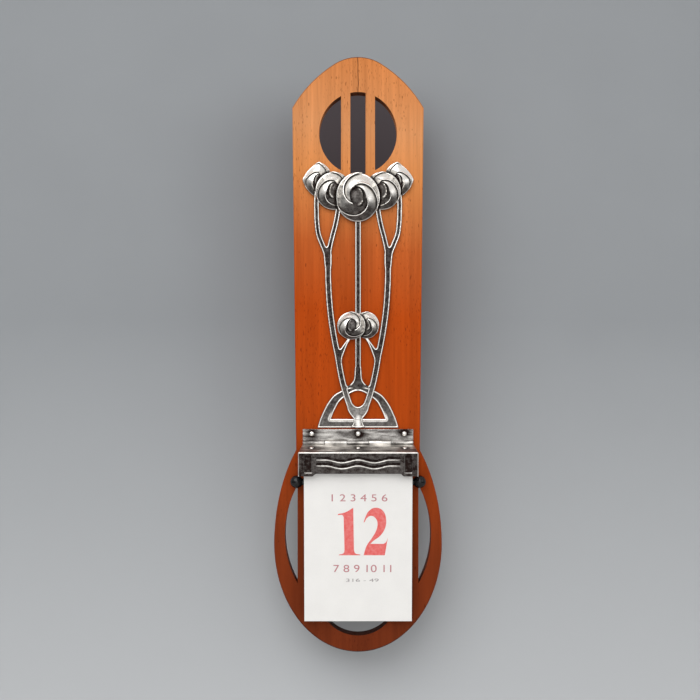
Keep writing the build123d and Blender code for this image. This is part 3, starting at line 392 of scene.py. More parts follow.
def finishes(context):
    """Every material of the calendar by its slot's name, made once."""
    colours = context.scene.calendar_colours
    if "mahogany_shellac" not in bpy.data.materials:
        polished_mahogany(tuple(colours.wood), tuple(colours.wood_head_sheen), tuple(colours.wood_foot_shade))
        oxidised_silver("silver_oxidised", tuple(colours.silver), tuple(colours.tarnish), (2.6, 2.6, 2.0), 4.0, 0.10)
        oxidised_silver("silver_rolled", tuple(colours.silver), tuple(colours.tarnish), (9.0, 3.0, 1.8), 2.0, 0.22)
        black_enamel(tuple(colours.enamel))
        pad_paper(tuple(colours.paper))
        printing_ink("ink_red", tuple(colours.red_ink))
        printing_ink("ink_dull_red", tuple(colours.dull_ink))
        printing_ink("ink_grey", tuple(colours.grey_ink))
        sheet_metal("brass_drawn", linear("#b08d4a"), 0.34, (9.0, 0.4, 0.4))
        sheet_metal("steel_blued", linear("#6f7479"), 0.36, (8.0, 0.4, 0.4))
        sheet_metal("tinplate_rolled", linear("#b9bcbc"), 0.38, (0.4, 0.4, 7.0))
        greyboard(linear("#a69d90"))
    names = {
        "mahogany": "mahogany_shellac", "silver": "silver_oxidised", "sheet_silver": "silver_rolled",
        "black_enamel": "enamel_black", "paper": "paper_uncoated", "brass": "brass_drawn", "steel": "steel_blued",
        "tinplate": "tinplate_rolled", "card": "greyboard", "ink_red": "ink_red", "ink_dull_red": "ink_dull_red",
        "ink_grey": "ink_grey",
    }
    return {slot: bpy.data.materials[name] for slot, name in names.items()}


# Making pieces


def piece(name, mesh, material, body, slot, *nodes):
    """A finished piece at the origin: its mesh, material, body, and the nodes that it stands for; the slot is not used.
    """
    made = bpy.data.objects.new(name, mesh)
    bpy.context.scene.collection.objects.link(made)
    if material is not None:
        mesh.materials.clear()
        mesh.materials.append(material)
    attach(made, body)
    if nodes:
        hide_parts(*nodes)
    return made


def keep_nodes(finish, slot, *nodes):
    """Nodes whose shape is right keep it and get a material."""
    for node in nodes:
        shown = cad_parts[node]
        shown.data.materials.clear()
        shown.data.materials.append(finish[slot])


def finished(name, form, angle, wear=None, domain="POINT"):
    """The mesh of a bmesh, smooth but crisp at edges steeper than the angle, with its wear where it has any."""
    mesh = bpy.data.meshes.new(name)
    form.to_mesh(mesh)
    form.free()
    if wear is not None:
        layer = mesh.attributes.new("wear", "FLOAT", domain)
        layer.data.foreach_set("value", np.asarray(wear, np.float32))
    mesh.polygons.foreach_set("use_smooth", [True] * len(mesh.polygons))
    mesh.set_sharp_from_angle(angle=math.radians(angle))
    return mesh


def evaluated_mesh(made):
    """A plain mesh of an object with its modifiers, and the object gone."""
    held = made.evaluated_get(bpy.context.evaluated_depsgraph_get())
    mesh = bpy.data.meshes.new_from_object(held)
    old = made.data
    bpy.data.objects.remove(made)
    bpy.data.meshes.remove(old)
    return mesh


SHARP_EDGE, FLAT_EDGE = math.radians(28), math.radians(1)
STAINED_CELL = 1.0 * MM
STAIN_HALVINGS = 7
STAIN_STRENGTH = 0.6
# Out of the wood in millimetres, between which a face's wear changes from the near one to the far one
NEAR_WOOD, FAR_OUT = 5.0, 10.0


def bevelled(node, edge):
    """A node's shape with its outer edges rounded, and the faces of the rounding at material index 1."""
    form = bmesh.new()
    form.from_mesh(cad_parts[node].data)
    bmesh.ops.remove_doubles(form, verts=form.verts, dist=1e-6)
    bmesh.ops.dissolve_limit(form, angle_limit=FLAT_EDGE, verts=form.verts, edges=form.edges)
    weight = form.edges.layers.float.new("bevel_weight_edge")
    for side in form.edges:
        if len(side.link_faces) == 2 and side.calc_face_angle_signed() > SHARP_EDGE:
            side[weight] = 1.0
    mesh = bpy.data.meshes.new(node + "_sharp")
    form.to_mesh(mesh)
    form.free()
    made = bpy.data.objects.new(node + "_sharp", mesh)
    bpy.context.scene.collection.objects.link(made)
    mesh.materials.append(None)
    mesh.materials.append(None)
    bevel = made.modifiers.new("edges", "BEVEL")
    bevel.limit_method = "WEIGHT"
    bevel.width = edge
    bevel.segments = 2
    bevel.material = 1
    mesh = evaluated_mesh(made)
    form = bmesh.new()
    form.from_mesh(mesh)
    bpy.data.meshes.remove(mesh)
    return form


def rubbed_copy(node, edge, face_wear=(0.0, 0.0), stains=(), reach=1.0):
    """A node's shape with rounded outer edges: bright on them, dark round stains, faces worn near and far out."""
    form = bevelled(node, edge)
    if stains:
        for _ in range(STAIN_HALVINGS):
            bmesh.ops.triangulate(form, faces=form.faces)
            long = [e for e in form.edges if e.calc_length() > STAINED_CELL]
            bmesh.ops.subdivide_edges(form, edges=long, cuts=1)
        bmesh.ops.triangulate(form, faces=form.faces)
    wear = []
    near, far = face_wear
    for face in form.faces:
        for corner in face.loops:
            out = -corner.vert.co.y / MM - PANEL_THICKNESS
            worn = 1.0 if face.material_index == 1 else near + (far - near) * float(eased(out, NEAR_WOOD, FAR_OUT))
            for stain in stains:
                worn -= STAIN_STRENGTH * math.exp(-((corner.vert.co - stain).length / reach) ** 2)
            wear.append(max(worn, 0.0))
        face.material_index = 0
    return finished(node + "_rubbed", form, 35, wear, "CORNER")


# Raised silver follows the depth inside an outline: a rim, a sunk middle, lips and grooves


def flowing(points, steps=8):
    """A smooth line through points."""
    points = [Vector(p) for p in points]
    if len(points) < 3:
        return points
    ends = [2 * points[0] - points[1], *points, 2 * points[-1] - points[-2]]
    line = []
    for a, b, c, d in zip(ends, ends[1:], ends[2:], ends[3:]):
        for i in range(steps):
            t = i / steps
            line.append(0.5 * (
                2 * b + (c - a) * t + (2 * a - 5 * b + 4 * c - d) * t * t + (3 * b - a - 3 * c + d) * t ** 3))
    return line + [points[-1]]


def mirror_line(line):
    """A line's mirror image across the middle."""
    return [(-p[0], p[1]) for p in line]


def distance_to_line(grid, line):
    """Distance of each grid point from a line of points."""
    best = np.full(grid.shape[:-1], 1e9)
    for a, b in zip(line, line[1:]):
        a, b = np.array(a), np.array(b)
        run = b - a
        along = np.clip(((grid - a) @ run) / max(run @ run, 1e-12), 0.0, 1.0)
        best = np.minimum(best, np.linalg.norm(grid - a - along[..., None] * run, axis=-1))
    return best


def inside_outline(grid, outline):
    """Distance inside a closed outline, negative outside it."""
    closed = list(outline) + [outline[0]]
    inside = np.zeros(grid.shape[:-1], bool)
    x, y = grid[..., 0], grid[..., 1]
    for (x0, y0), (x1, y1) in zip(closed, closed[1:]):
        if y0 != y1:
            crossing = (y0 > y) != (y1 > y)
            inside ^= crossing & (x < (x1 - x0) * (y - y0) / (y1 - y0) + x0)
    return np.where(inside, 1.0, -1.0) * distance_to_line(grid, closed)


def soft_join(first, second, fillet):
    """Two depths inside a shape joined, with a fillet where they meet."""
    near = np.clip(0.5 + 0.5 * (first - second) / fillet, 0.0, 1.0)
    return second + (first - second) * near + fillet * near * (1.0 - near)


def even_depth(grid, depth):
    """The depth measured square to the outline where a joined depth is zero, so that rims keep their width in forks."""
    crossings = []
    for a, b, p, q in (
        (depth[:-1], depth[1:], grid[:-1], grid[1:]), (depth[:, :-1], depth[:, 1:], grid[:, :-1], grid[:, 1:]),
    ):
        cut = (a > 0) != (b > 0)
        crossings.append(p[cut] + (q[cut] - p[cut]) * (a[cut] / (a[cut] - b[cut]))[:, None])
    crossings = np.concatenate(crossings)
    outline = KDTree(len(crossings))
    for index, (x, y) in enumerate(crossings):
        outline.insert((x, y, 0.0), index)
    outline.balance()
    even = depth.copy()
    for spot in np.argwhere(depth > -1.0):
        spot = tuple(spot)
        even[spot] = math.copysign(outline.find((*grid[spot], 0.0))[2], depth[spot])
    return even


WALL_WEAR = 0.12


def raised(name, grid, depth, level, wear, back=0.0, keep=None, closed=False):
    """A mesh of the cells where depth is above zero, its edge drawn onto the outline, with a wall down to the back."""
    slope_y, slope_x = np.gradient(depth, grid[1, 0, 1] - grid[0, 0, 1], grid[0, 1, 0] - grid[0, 0, 0])
    steep = np.maximum(np.hypot(slope_x, slope_y), 0.3)
    shift = np.where(depth < 0, -depth / steep, 0.0)
    x = grid[..., 0] + shift * slope_x / steep
    y = grid[..., 1] + shift * slope_y / steep
    inner = depth > 0
    cells = inner[:-1, :-1] | inner[1:, :-1] | inner[:-1, 1:] | inner[1:, 1:]
    if keep is not None:
        cells &= keep[:-1, :-1]
    rows, columns = np.nonzero(cells)
    width = depth.shape[1]
    corner = rows * width + columns
    quads = np.stack([corner, corner + 1, corner + width + 1, corner + width], 1)
    used, quads = np.unique(quads, return_inverse=True)
    places = np.stack([x.ravel()[used], y.ravel()[used], level.ravel()[used]], 1)
    worn = list(wear.ravel()[used])
    form = bmesh.new()
    points = [form.verts.new(at(*p)) for p in places]
    for quad in quads.reshape(-1, 4):
        form.faces.new([points[i] for i in quad])
    rim = [e for e in form.edges if e.is_boundary]
    wall = bmesh.ops.extrude_edge_only(form, edges=rim)["geom"]
    for v in wall:
        if isinstance(v, bmesh.types.BMVert):
            v.co.y = at(0, 0, back).y
            worn.append(WALL_WEAR)
    if closed:
        bmesh.ops.triangle_fill(form, edges=[e for e in form.edges if e.is_boundary], use_beauty=True)
    bmesh.ops.recalc_face_normals(form, faces=form.faces)
    return finished(name, form, 50, worn)


def rimmed(depth, high, rim, sink, sunk_wear):
    """Level and wear of a raised round rim along the outline, darkened at its foot as painted shade, and a sunk middle.
    """
    depth = np.maximum(depth, 0.0)
    outer = np.sin(np.clip(depth / (0.35 * rim), 0, 1) * math.pi / 2)
    fall = eased(depth, 0.9 * rim, 1.25 * rim)
    level = high - 0.3 * (1 - outer) - sink * fall
    return level, (1.0 - fall) * eased(depth, 0.05 * rim, 0.4 * rim) + fall * sunk_wear


class CALENDAR_OT_panel(bpy.types.Operator):
    """Finish the wooden back and the hanger let into it"""

    bl_idname = "calendar.panel"
    bl_label = "Back panel"

    def execute(self, context):
        finish = finishes(context)
        keep_nodes(finish, "mahogany", "back_panel")
        piece("hanger", rubbed_copy("hanger_plate", 0.2 * MM), finish["brass"], "frame", "brass", "hanger_plate")
        return {"FINISHED"}


# The ornament in millimetres, and its strokes as shares of its half width and height

ORNAMENT_FOOT = 139.4
ORNAMENT_HALF_WIDTH = 35.0
ORNAMENT_HEIGHT = 164.6
ORNAMENT_CELL = 0.25
ORNAMENT_ACROSS = np.arange(-29.0, 29.0, ORNAMENT_CELL)
STEMS_HEIGHT = 0.91 * ORNAMENT_HEIGHT
STEM_RISE, STEM_SINK = 2.2, 0.8
CENTRE_HALF_WIDTH = 1.8
MAIN_STEM = (
    (0.529, 0.645), (0.529, 0.571), (0.519, 0.514), (0.497, 0.450), (0.460, 0.386), (0.410, 0.323),
    (0.360, 0.271), (0.314, 0.213), (0.254, 0.156), (0.180, 0.104), (0.098, 0.060), (0.018, 0.035), (0.012, 0.014),
)
OUTER_BRANCH = (
    (0.725, 0.885), (0.736, 0.848), (0.734, 0.810), (0.727, 0.772), (0.700, 0.728), (0.634, 0.690), (0.571, 0.655),
    (0.536, 0.612), (0.529, 0.571), (0.519, 0.514),
)
INNER_BRANCH = (
    (0.340, 0.840), (0.367, 0.800), (0.405, 0.760), (0.452, 0.722), (0.497, 0.682), (0.521, 0.648),
    (0.528, 0.612), (0.529, 0.571), (0.519, 0.514),
)
LOW_BRANCH = (
    (0.100, 0.352), (0.160, 0.333), (0.225, 0.312), (0.285, 0.286), (0.322, 0.258), (0.326, 0.228), (0.305, 0.202),
)
CENTRE_STEM = ((0.0, 0.830), (0.0, 0.168))
CENTRE_FOOT = ((0.044, 0.222), (0.066, 0.186), (0.120, 0.166), (0.215, 0.150))
STEM_FOOT = ((0.040, 0.046), (0.058, 0.032), (0.080, 0.018), (0.130, 0.002))
# Half width of each stroke, at its tip and at its fork, and the height of the fork, below which it sinks away
STROKES = (
    (MAIN_STEM, 1.9, 1.9, 0.0), (OUTER_BRANCH, 1.55, 1.6, 242.0), (INNER_BRANCH, 1.55, 1.6, 242.0),
    (LOW_BRANCH, 0.8, 1.5, 185.0),
)
BRANCH_SPREAD_LENGTH, BRANCH_SINK, BRANCH_SINK_LENGTH = 8.0, 2.4, 11.0
# The stems run together in a rounded V at the foot
V_FILLET, V_TOP, V_MIDDLE, V_FOOT = 8.6, 162.0, 151.0, 144.5
# The channel is black above and was rubbed greyer towards the foot, where a painted highlight lies
BLACK_ABOVE, GREY_BELOW = 172.0, 150.0
PAINTED_HIGHLIGHT_HEIGHT, PAINTED_HIGHLIGHT_HALF_WIDTH, PAINTED_HIGHLIGHT_HALF_HEIGHT = 143.4, 2.2, 4.4
# The centre stem's foot lies flat on the arch, without a rim
FLAT_HALF_WIDTH, FLAT_FOOT, FLAT_TOP = 5.6, 163.0, 165.2
# Stems go low where a rose lies on them
BURIED_RISE, BURIED_SHARE = 0.9, 0.96
ARCH_HALF_WIDTH, ARCH_HEIGHT = 25.2, 25.8
ARCH_RISE, ARCH_SINK = 1.4, 0.42
ARCH_OUTER = ((1.0, 0.0), (0.909, 0.267), (0.734, 0.605), (0.496, 0.841), (0.0, 1.0))
ARCH_INNER = ((0.672, 0.205), (0.560, 0.452), (0.400, 0.680), (0.0, 0.885))


def on_ornament(share):
    """A place on the ornament in millimetres, across and up, from its shares."""
    return share[0] * ORNAMENT_HALF_WIDTH, ORNAMENT_FOOT + share[1] * ORNAMENT_HEIGHT


def ornament_grid(rise):
    """Points across the ornament, from just below its foot up to a height above it."""
    ys = np.arange(ORNAMENT_FOOT - 1.0, ORNAMENT_FOOT + rise, ORNAMENT_CELL)
    return np.stack(np.meshgrid(ORNAMENT_ACROSS, ys), -1)


def arch_mesh(rim):
    """The foot arch: a dark channel, and an inner lip, bright and broad low down and along the top of the foot bar."""
    outlines = []
    for shares in (ARCH_OUTER, ARCH_INNER):
        bow = [(x * ARCH_HALF_WIDTH, ORNAMENT_FOOT + y * ARCH_HEIGHT) for x, y in shares]
        outlines.append(flowing(bow + mirror_line(bow[:-1])[::-1]))
    grid = ornament_grid(ARCH_HEIGHT + 1.0)
    outer, inner = (inside_outline(grid, outline) for outline in outlines)
    depth = np.minimum(outer, -inner)
    above = grid[..., 1] - ORNAMENT_FOOT
    lip = eased(-inner, 2.4, 1.5) * eased(above, 1.9, 2.7) * eased(above, 14.0, 5.5)
    level, wear = rimmed(depth, ARCH_RISE, rim, ARCH_SINK, 0.12 + 0.10 * eased(above, 18.0, 4.0))
    level, wear = level + 0.3 * lip * (ARCH_RISE - level), np.maximum(wear, 0.7 * lip)
    return raised("base_arch", grid, depth, level, wear)


def foot_depth(grid, shares):
    """Distance inside a spread foot, which is drawn by its right side."""
    right = flowing([on_ornament(s) for s in shares])
    return inside_outline(grid, [*right, *reversed(mirror_line(right))])


def side_depth(grid, mirrored, fillet):
    """Distance inside a forked side stem, with fillets in its forks."""
    height = grid[..., 1]
    depth = None
    for shares, tip, wide, fork in STROKES:
        line = flowing([on_ornament(s) for s in shares])
        half = tip + (wide - tip) * eased(height, fork + 1.0 + BRANCH_SPREAD_LENGTH, fork + 1.0)
        half = half - BRANCH_SINK * eased(height, fork, fork - BRANCH_SINK_LENGTH)
        found = half - distance_to_line(grid, mirror_line(line) if mirrored else line)
        depth = found if depth is None else soft_join(depth, found, fillet)
    return depth


def stems_depth(grid, fillet):
    """Distance inside the joined stems, and the stem that each point is on: left, right or centre."""
    height = grid[..., 1]
    left, right = side_depth(grid, True, fillet), side_depth(grid, False, fillet)
    upright = CENTRE_HALF_WIDTH - distance_to_line(grid, [on_ornament(s) for s in CENTRE_STEM])
    centre = soft_join(upright, foot_depth(grid, CENTRE_FOOT), fillet)
    rounding = fillet + V_FILLET * eased(height, V_TOP, V_MIDDLE) * eased(height, V_FOOT, V_MIDDLE)
    joined = soft_join(soft_join(left, right, rounding), centre, fillet)
    joined = np.minimum(soft_join(joined, foot_depth(grid, STEM_FOOT), fillet), height - ORNAMENT_FOOT)
    return even_depth(grid, joined), np.argmax(np.stack([left, right, centre]), 0)


def stems_face(grid, depth, rim):
    """Level and wear of the stems: bright rims, a dark channel with a painted highlight at its foot, and low under the
    roses.
    """
    across, height = grid[..., 0], grid[..., 1]
    sunk_wear = 0.06 + 0.30 * eased(height, BLACK_ABOVE, GREY_BELOW)
    level, wear = rimmed(depth, STEM_RISE, rim, STEM_SINK, sunk_wear)
    flat = eased(np.abs(across), FLAT_HALF_WIDTH + 1.0, FLAT_HALF_WIDTH)
    flat = flat * eased(height, FLAT_FOOT - 1.0, FLAT_FOOT) * eased(height, FLAT_TOP + 0.7, FLAT_TOP)
    level, wear = level - flat * (level - STEM_RISE + STEM_SINK), wear + flat * (sunk_wear - wear)
    for (x, y), (half_width, half_height), _, _, corners in ROSES.values():
        if corners:
            under = inside_outline(grid, [(x + a, y + b) for a, b in corners]) > 0.0
        else:
            under = np.hypot((across - x) / half_width, (height - y) / half_height) < BURIED_SHARE
        level = np.where(under, np.minimum(level, BURIED_RISE), level)
    # A painted highlight on the foot where the stems meet
    polish = 0.9 * np.exp(-(across / PAINTED_HIGHLIGHT_HALF_WIDTH) ** 2 - ((height - PAINTED_HIGHLIGHT_HEIGHT) / PAINTED_HIGHLIGHT_HALF_HEIGHT) ** 4)
    return level, np.maximum(wear, polish)


class CALENDAR_OT_stems(bpy.types.Operator):
    """Raise the rimmed stems and foot arch of the ornament from the outline of their strokes"""

    bl_idname = "calendar.stems"
    bl_label = "Stems and arch"

    def execute(self, context):
        sizes = context.scene.calendar_sizes
        silver = finishes(context)["silver"]
        rim = sizes.stem_rim / MM
        grid = ornament_grid(STEMS_HEIGHT)
        depth, nearest = stems_depth(grid, sizes.stem_fillet / MM)
        level, wear = stems_face(grid, depth, rim)
        for index, node in enumerate(("stem_left", "stem_right", "stem_centre")):
            mesh = raised(node, grid, depth, level, wear, keep=nearest == index)
            piece(node + "_rimmed", mesh, silver, "frame", "silver", node)
        piece("base_arch_rimmed", arch_mesh(rim), silver, "frame", "silver", "base_arch")
        return {"FINISHED"}


# Roses: middle, half width and height, rise, the roses in front, and the corners of a pointed outline about the middle

ROSE_EDGE = 1.9
LIP_START = math.radians(200)
BUD_TURN = math.radians(105)
PETAL_STEPS_IN, PETAL_STEPS_ACROSS, BUD_RINGS = 26, 34, 14
# Steps lie closer together at the rim and at the lip
CLOSE_AT_RIM, CLOSE_AT_LIP = 1.3, 1.5
# Shares of a rose's rise: the dome of its petals, their lips and the rim, then the bud's floor, lip and egg
PETAL_DOME, PETAL_LIP, PETAL_RIM = 0.42, 0.32, 0.04
BUD_FLOOR, BUD_LIP, BUD_EGG = 0.18, 0.22, 0.16
BUD_OVAL = 0.14
UNDER_LIP = 0.025
POINTED = ((10.0, 0.6), (-0.35, 11.6), (-7.24, 6.2), (2.8, -9.8))
POINTED_BOW = 0.09
ROSES = {
    "rose_outer_left": ((-24.5, 292.4), (8.4, 8.4), 3.8, ("rose_inner_left",), POINTED),
    "rose_outer_right": ((24.5, 292.4), (8.4, 8.4), 3.8, ("rose_inner_right",), POINTED),
    "rose_inner_left": ((-15.2, 286.0), (11.3, 11.9), 5.0, ("rose_centre",), ()),
    "rose_inner_right": ((15.2, 286.0), (11.3, 11.9), 5.0, ("rose_centre",), ()),
    "rose_centre": ((-0.1, 282.0), (13.8, 15.4), 6.6, (), ()),
    "rose_low_right": ((5.4, 202.9), (7.7, 8.4), 4.2, ("rose_low_left",), ()),
    "rose_low_left": ((-4.1, 202.6), (8.9, 8.7), 4.4, (), ()),
}


def outline_reach(across, up, corners):
    """Reach of a rose's outline by angle: an oval, or through corners with bowed sides."""
    if not corners:
        return lambda angle: 1 / math.hypot(math.cos(angle) / across, math.sin(angle) / up)
    points = []
    for a, b in zip(corners, corners[1:] + corners[:1]):
        a, b = np.array(a), np.array(b)
        normal = np.array((-(b - a)[1], (b - a)[0]))
        normal = normal if normal @ (a + b) > 0 else -normal
        for t in np.linspace(0.0, 1.0, 24, endpoint=False):
            points.append(a + (b - a) * t + normal * POINTED_BOW * 4 * t * (1 - t))
    points = np.array(points)
    angles = np.arctan2(points[:, 1], points[:, 0])
    order = np.argsort(angles)
    angles, reaches = angles[order], np.hypot(points[:, 0], points[:, 1])[order]
    return lambda angle: float(np.interp(angle, angles, reaches, period=2 * math.pi))


def petal_face(share, across, angle, rise):
    """Level and wear on a petal, by the shares of the way in from the rim and on from its lip, and by the angle."""
    dome = math.sin(share * math.pi / 2)
    # The lip stands up to a flat rubbed band, from which the petal falls
    band = float(eased(across, 0.085, 0.055))
    lip = (1.0 - across) ** 1.15 + 0.14 * min(across / 0.06, 1.0) * float(eased(across, 0.15, 0.06))
    rim = ridge(share, 0.03, 0.035)
    held = 0.55 + 0.45 * min(share / 0.5, 1.0)
    level = ROSE_EDGE + rise * (PETAL_DOME * dome + PETAL_LIP * lip * held + PETAL_RIM * rim)
    # Painted light makes the petal paler above and at the sides and darker below; it is rubbed white near its lip, and
    # left dark with tarnish and painted shade where it goes under
    under = 0.12 + 0.88 * float(eased(across, 1.0, 0.72))
    face = (0.86 + 0.26 * (1 - across) ** 0.8) * (0.10 + 0.90 * float(eased(math.sin(angle), -0.85, 0.05)))
    return level, face * under + 0.06 + 0.7 * band + 0.6 * rim


def bud_face(share, angle, rise):
    """Level and wear in the bud: an egg in the hollow, with one lip curled round its right side."""
    across, up = share * math.cos(angle), share * math.sin(angle)
    off = math.hypot(across + 0.30, up - 0.02)
    lip = ridge(off, 0.86, 0.11) * float(eased(across, -0.15, 0.3))
    egg = max(0.0, 1.0 - (off / 0.72) ** 2)
    return ROSE_EDGE + rise * (BUD_FLOOR + BUD_LIP * lip + BUD_EGG * egg), 0.06 + 1.1 * lip + 0.16 * egg


def ring_faces(form, outer, inner):
    """Faces between two closed rings of as many vertices."""
    for i in range(len(outer)):
        j = (i + 1) % len(outer)
        form.faces.new((outer[i], outer[j], inner[j], inner[i]))


def petal_spots(halves, rise, corners, sizes):
    """The petals as rows of spots from the rim in, each with its reach, angle, level and wear."""
    rim_reach = outline_reach(*halves, corners)
    part = 2 * math.pi / sizes.petals
    petals = []
    for index in range(sizes.petals):
        rows = []
        for i in range(PETAL_STEPS_IN + 1):
            share = (i / PETAL_STEPS_IN) ** CLOSE_AT_RIM
            row = []
            for j in range(PETAL_STEPS_ACROSS + 1):
                across = (j / PETAL_STEPS_ACROSS) ** CLOSE_AT_LIP
                angle = LIP_START + sizes.lip_twist * share + (index + across) * part
                egg = sizes.bud * halves[0] * (1.0 + BUD_OVAL * math.cos(2 * (angle - BUD_TURN)))
                reach = rim_reach(angle) * (1 - UNDER_LIP * across) * (1 - share) + egg * share
                row.append((reach, angle, *petal_face(share, across, angle, rise)))
            rows.append(row)
        petals.append(rows)
    return petals


def rose_mesh(name, sizes):
    """Petals that wind in from the rim, each falling from its lip to go under the next, round a dark hollow bud."""
    place, halves, rise, fronts, corners = ROSES[name]
    turned = name.endswith("left")
    form = bmesh.new()
    worn = []

    def vertex(reach, angle, level, wear):
        """A vertex of the rose, low where a rose in front lies on it, and darkened there with painted shade."""
        x, y = reach * math.cos(angle), reach * math.sin(angle)
        x, y = place[0] + (-x if turned else x), place[1] + y
        for front in fronts:
            (fx, fy), (across, up) = ROSES[front][:2]
            off = (math.hypot((x - fx) / across, (y - fy) / up) - 1.0) * across
            level = min(level, 1.0 if off < 0 else 1.6 + 1.1 * off)
            # Painted shade beside the rim of the rose in front
            wear *= float(eased(off, -0.2, 2.2))
        worn.append(float(np.clip(wear, 0.0, 1.0)))
        return form.verts.new(at(x, y, level))

    spots = petal_spots(halves, rise, corners, sizes)
    bud_edge = [spot for rows in spots for spot in rows[-1]]
    petals = [[[vertex(*spot) for spot in row] for row in rows] for rows in spots]
    for rows, following in zip(petals, petals[1:] + petals[:1]):
        for low, high in zip(rows, rows[1:]):
            for j in range(PETAL_STEPS_ACROSS):
                form.faces.new((low[j], low[j + 1], high[j + 1], high[j]))
        for i in range(PETAL_STEPS_IN):
            form.faces.new((rows[i][-1], following[i][0], following[i + 1][0], rows[i + 1][-1]))
    # The rim's wall, down to the wood
    rim = [v for rows in petals for v in rows[0]]
    wall = [form.verts.new((v.co.x, at(0, 0, 0).y, v.co.z)) for v in rim]
    worn += [0.1] * len(wall)
    ring_faces(form, wall, rim)
    # The bud, in rings towards its middle
    outer = [v for rows in petals for v in rows[-1]]
    for k in range(1, BUD_RINGS):
        share = 1 - k / BUD_RINGS
        inner = [vertex(reach * share, angle, *bud_face(share, angle, rise)) for reach, angle, *_ in bud_edge]
        ring_faces(form, outer, inner)
        outer = inner
    form.faces.new(outer)
    bmesh.ops.recalc_face_normals(form, faces=form.faces)
    return finished(name, form, 55, worn)


class CALENDAR_OT_roses(bpy.types.Operator):
    """Model the seven roses with curled petals"""

    bl_idname = "calendar.roses"
    bl_label = "Roses"

    def execute(self, context):
        silver = finishes(context)["silver"]
        for node in ROSES:
            piece(node + "_curled", rose_mesh(node, context.scene.calendar_sizes), silver, "frame", "silver", node)
        return {"FINISHED"}


# The hood: a hinged cover and cheeks of rolled sheet, and a cast front

STRIP_NAILS = (-28.7, 0.0, 28.7)
STRIP_NAIL_HEIGHT = 135.6
STRIP_FACE = 1.2
HINGE_HEIGHT = 130.0
HINGE_OUT = 1.7
COVER_SLOPE = math.radians(14.0)
RIVETS = (-28.5, 0.0, 28.5)
RIVET_REACH = 8.0
NAIL_PLACES = [at(x, STRIP_NAIL_HEIGHT, STRIP_FACE) for x in STRIP_NAILS]
FRONT_LOW, FRONT_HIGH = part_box("hood_front")
FRONT_HALF_WIDTH = FRONT_HIGH.x / MM
FRONT_FOOT = FRONT_LOW.z / MM + FOOT_DROP
FRONT_TOP = FRONT_HIGH.z / MM + FOOT_DROP
FRONT_BACK = -FRONT_HIGH.y / MM - PANEL_THICKNESS
FRONT_FACE = -FRONT_LOW.y / MM - PANEL_THICKNESS
EAR_WIDTH, EAR_CURVE, EAR_RISE, FRONT_CORNER = 8.5, 2.4, 1.6, 0.9
FRONT_FRAME, FRONT_SINK, FRONT_ROUND = 0.9, 0.25, 0.3
FRONT_CELL_ACROSS, FRONT_CELL_UP, FRONT_MARGIN = 0.2, 0.14, 0.4
# The lips and the grooves above them: middle over the wave, half width, and rise or sink
WAVE_LIP, WAVE_LIP_RISE = (-0.75, 0.42), 0.22
WAVE_GROOVE, WAVE_GROOVE_SINK = (0.25, 0.55), 0.45
WAVE_DROPS = (4.8, 8.4)
WAVE_HALF_LENGTH = 25.6
WAVE_TURNS = 1.3
WINDOW_WIDTH, WINDOW_HEIGHT, WINDOW_INSET, WINDOW_DROP, WINDOW_SINK = 4.3, 10.2, 4.0, 2.3, 0.45


def rivet_place(x, rise):
    """A rivet's place on the sloping cover, above the line through the hinge."""
    y = HINGE_HEIGHT - RIVET_REACH * math.sin(COVER_SLOPE) + rise * math.cos(COVER_SLOPE)
    return at(x, y, HINGE_OUT + RIVET_REACH * math.cos(COVER_SLOPE) + rise * math.sin(COVER_SLOPE))


def front_outline():
    """Outline of the cast front: round upper corners, and an ear at each side that reaches lower than the middle."""
    w, foot, top = FRONT_HALF_WIDTH, FRONT_FOOT, FRONT_TOP
    corner = []
    for i in range(7):
        turn = math.pi / 2 * i / 6
        corner.append((w - FRONT_CORNER * (1 - math.sin(turn)), top - FRONT_CORNER * (1 - math.cos(turn))))
    ear = w - EAR_WIDTH
    bend = [(ear - EAR_CURVE * t, foot + EAR_RISE * (3 * t * t - 2 * t ** 3)) for t in np.linspace(0.0, 1.0, 7)]
    half = [*corner, (w, foot), *bend]
    return [*half, *reversed(mirror_line(half))]


